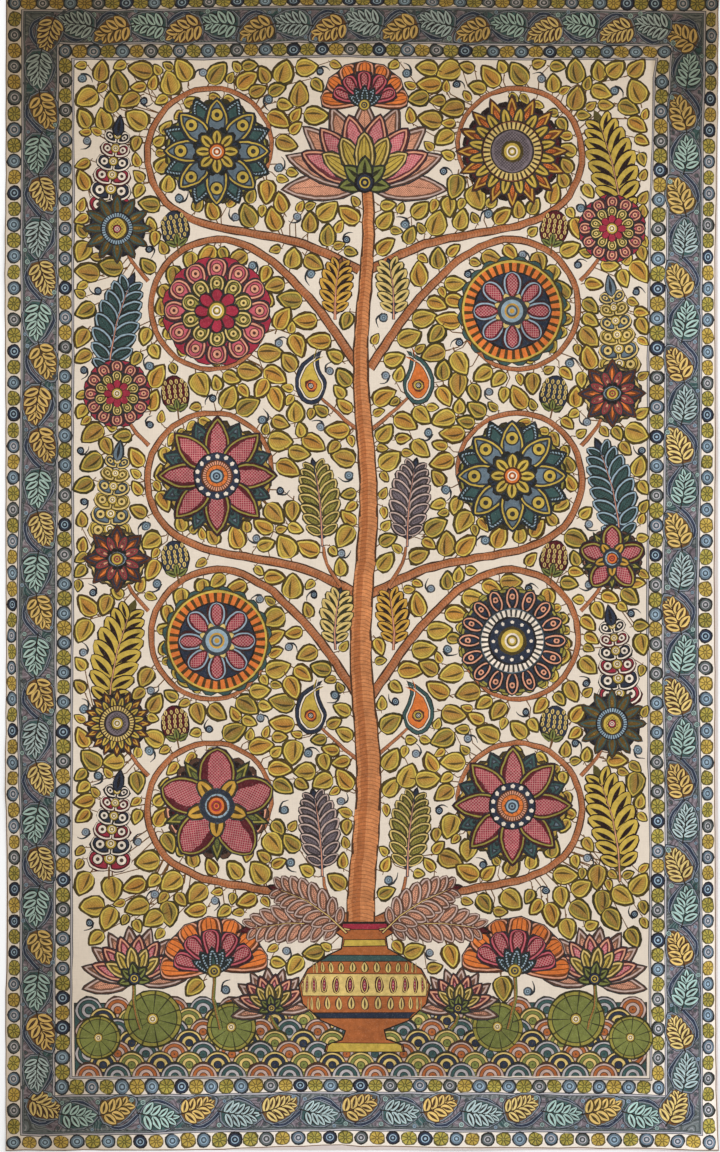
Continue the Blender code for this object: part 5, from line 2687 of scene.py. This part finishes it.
@dataclass(frozen=True)
class ClothFinish:
    """How one family of dyes sits on the cotton."""

    finish: Finish
    pool: float
    grain: float
    thirst: float
    roughness: float
    sheen: float
    relief: float
    penned: bool

    def material(self, groups: dict[str, Tree]) -> Material:
        """Build the material.

        Args:
            groups: The shared groups, by name.

        Returns:
            The material.
        """
        material = bpy.data.materials.new(self.finish.value)
        material.use_nodes = True
        pad = NodePad(material.node_tree)
        place = pad.add("ShaderNodeTexCoord").outputs["Object"]

        def grouped(name: str, inputs: dict[str, object]) -> bpy.types.NodeOutputs:
            """Add a shared group and return its outputs."""
            return pad.add("ShaderNodeGroup", inputs, node_tree=groups[name]).outputs

        def read(name: str) -> bpy.types.NodeOutputs:
            """Read one of the cloth's attributes."""
            return pad.add("ShaderNodeAttribute", attribute_name=name, attribute_type="GEOMETRY").outputs

        colour = read("dye_colour")["Color"]
        threads = grouped("weave", {"Place": place})
        if self.penned:
            where, shape = read("pen_place"), read("pen_shape")
            drawn = grouped("pen work", {
                "Place": where["Vector"], "Bow": where["Alpha"], "Shape": shape["Vector"],
                "Kind": shape["Alpha"], "Spot": place})
            marks = {name: drawn[name] for name in ("Line", "Rim", "Stain", "Glint")}
            colour = grouped("inked", {
                "Colour": colour, "Accent": read("accent_colour")["Color"], **marks})["Colour"]
        dyed = grouped("wash", {
            "Place": place, "Colour": colour, "Pool": self.pool, "Grain": self.grain,
            "Slubs": threads["Slubs"], "Thirst": self.thirst})["Colour"]
        # The colour is made darker towards the cloth's head and its left side.
        darkened = pad.add("ShaderNodeVectorMath", {0: dyed, 1: grouped("age", {"Place": place})["Tint"]},
                          operation="MULTIPLY").outputs[0]
        bump = pad.add("ShaderNodeBump", {
            "Height": threads["Height"], "Distance": 0.00012, "Strength": self.relief}).outputs[0]
        pad.feed(material.node_tree.nodes["Principled BSDF"], {
            "Base Color": darkened, "Normal": bump, "Roughness": self.roughness, "Specular IOR Level": 0.25,
            "Sheen Weight": self.sheen, "Sheen Roughness": 0.5})
        return material


CLOTH_FINISHES = (
    ClothFinish(Finish.COTTON, pool=0.10, grain=0.10, thirst=0.00, roughness=0.92, sheen=0.08, relief=0.6,
                penned=False),
    ClothFinish(Finish.LINE, pool=0.35, grain=0.60, thirst=0.10, roughness=0.80, sheen=0.03, relief=0.4,
                penned=False),
    ClothFinish(Finish.WARM, pool=0.85, grain=0.45, thirst=0.14, roughness=0.88, sheen=0.06, relief=0.5,
                penned=True),
    ClothFinish(Finish.COOL, pool=0.90, grain=0.50, thirst=0.12, roughness=0.88, sheen=0.06, relief=0.5,
                penned=True),
)


def cloth_materials() -> dict[Finish, Material]:
    """Return the material of each of the cloth's finishes.

    Returns:
        The materials.
    """
    groups = {"weave": Shading.weave(), "wash": Shading.wash(), "pen work": Shading.pen_work(),
              "inked": Shading.inked(), "age": Shading.age()}
    return {kind.finish: kind.material(groups) for kind in CLOTH_FINISHES}


# The studio


@dataclass(frozen=True)
class Studio:
    """A plain pale floor, soft overhead light and a camera straight above the cloth."""

    view_length: float = 1152 * 0.001503
    aim: tuple[float, float] = (-0.0029, -0.0063)
    height: float = 4.5
    sensor: float = 36.0
    floor_size: float = 9.0
    floor_drop: float = 0.0004

    @staticmethod
    def hang(name: str, data: bpy.types.ID, place: Triple = (0.0, 0.0, 0.0)) -> bpy.types.Object:
        """Put a new object in the scene.

        Args:
            name: The object's name.
            data: Its mesh, light or camera.
            place: Where it stands.

        Returns:
            The object.
        """
        thing = bpy.data.objects.new(name, data)
        thing.location = place
        bpy.context.scene.collection.objects.link(thing)
        return thing

    def camera(self) -> None:
        """Hang the camera over the cloth, with the photograph's frame."""
        data = bpy.data.cameras.new("overhead camera")
        data.sensor_width = self.sensor
        data.lens = self.sensor * (self.height - CLOTH_THICKNESS) / self.view_length
        bpy.context.scene.camera = self.hang(data.name, data, (*self.aim, self.height))

    def floor(self) -> None:
        """Lay the floor."""
        corners = [self.floor_size / 2 * (1 + 1j) * 1j ** turn for turn in range(4)]
        mesh = bpy.data.meshes.new("studio_floor")
        mesh.from_pydata([(p.real, p.imag, -self.floor_drop) for p in corners], [], [(0, 1, 2, 3)])
        material = bpy.data.materials.new("pale_floor")
        material.use_nodes = True
        pad = NodePad(material.node_tree)
        cloud = pad.noise(pad.add("ShaderNodeTexCoord").outputs["Object"], 1.5, 2.0)
        tone = pad.wire("ShaderNodeMapRange", {"Value": cloud, "To Min": 0.93, "To Max": 0.97})
        pad.feed(material.node_tree.nodes["Principled BSDF"], {"Base Color": tone, "Roughness": 0.9})
        mesh.materials.append(material)
        self.hang(mesh.name, mesh)

    def lights(self) -> None:
        """Hang the soft lights and fill the room with pale light."""
        for name, place, size, power in (
                ("overhead softbox", (0.5, 0.8, 3.4), 3.2, 62.0),
                ("left softbox", (-3.0, 0.6, 2.4), 2.0, 16.0),
                ("right softbox", (3.0, -0.6, 2.4), 2.0, 14.0)):
            data = bpy.data.lights.new(name, "AREA")
            data.size = size
            data.energy = power
            self.hang(name, data, place).rotation_euler = Vector(place).to_track_quat("Z", "Y").to_euler()
        world = bpy.data.worlds.new("studio air")
        world.use_nodes = True
        NodePad(world.node_tree).feed(world.node_tree.nodes["Background"], {
            "Color": (1.0, 1.0, 1.0, 1.0), "Strength": 0.55})
        bpy.context.scene.world = world

    def build(self) -> None:
        """Set up the whole studio."""
        self.camera()
        self.floor()
        self.lights()
        bpy.context.scene.view_settings.view_transform = "Standard"
        LOG.info("studio: camera %.2f m above the cloth", self.height)


def main() -> None:
    """Dress the panel."""
    logging.basicConfig(level=logging.INFO, format="%(name)s: %(message)s")
    Studio().build()
    materials = cloth_materials()
    drawing = Border(materials[Finish.WARM]).sketch()
    drawing.stamp(Field(materials[Finish.WARM]).sketch())
    cloth = PaintedCloth().build(drawing, materials)
    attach(cloth, "root")
    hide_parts(CLOTH_NODE)


if __name__ == "__main__":
    main()
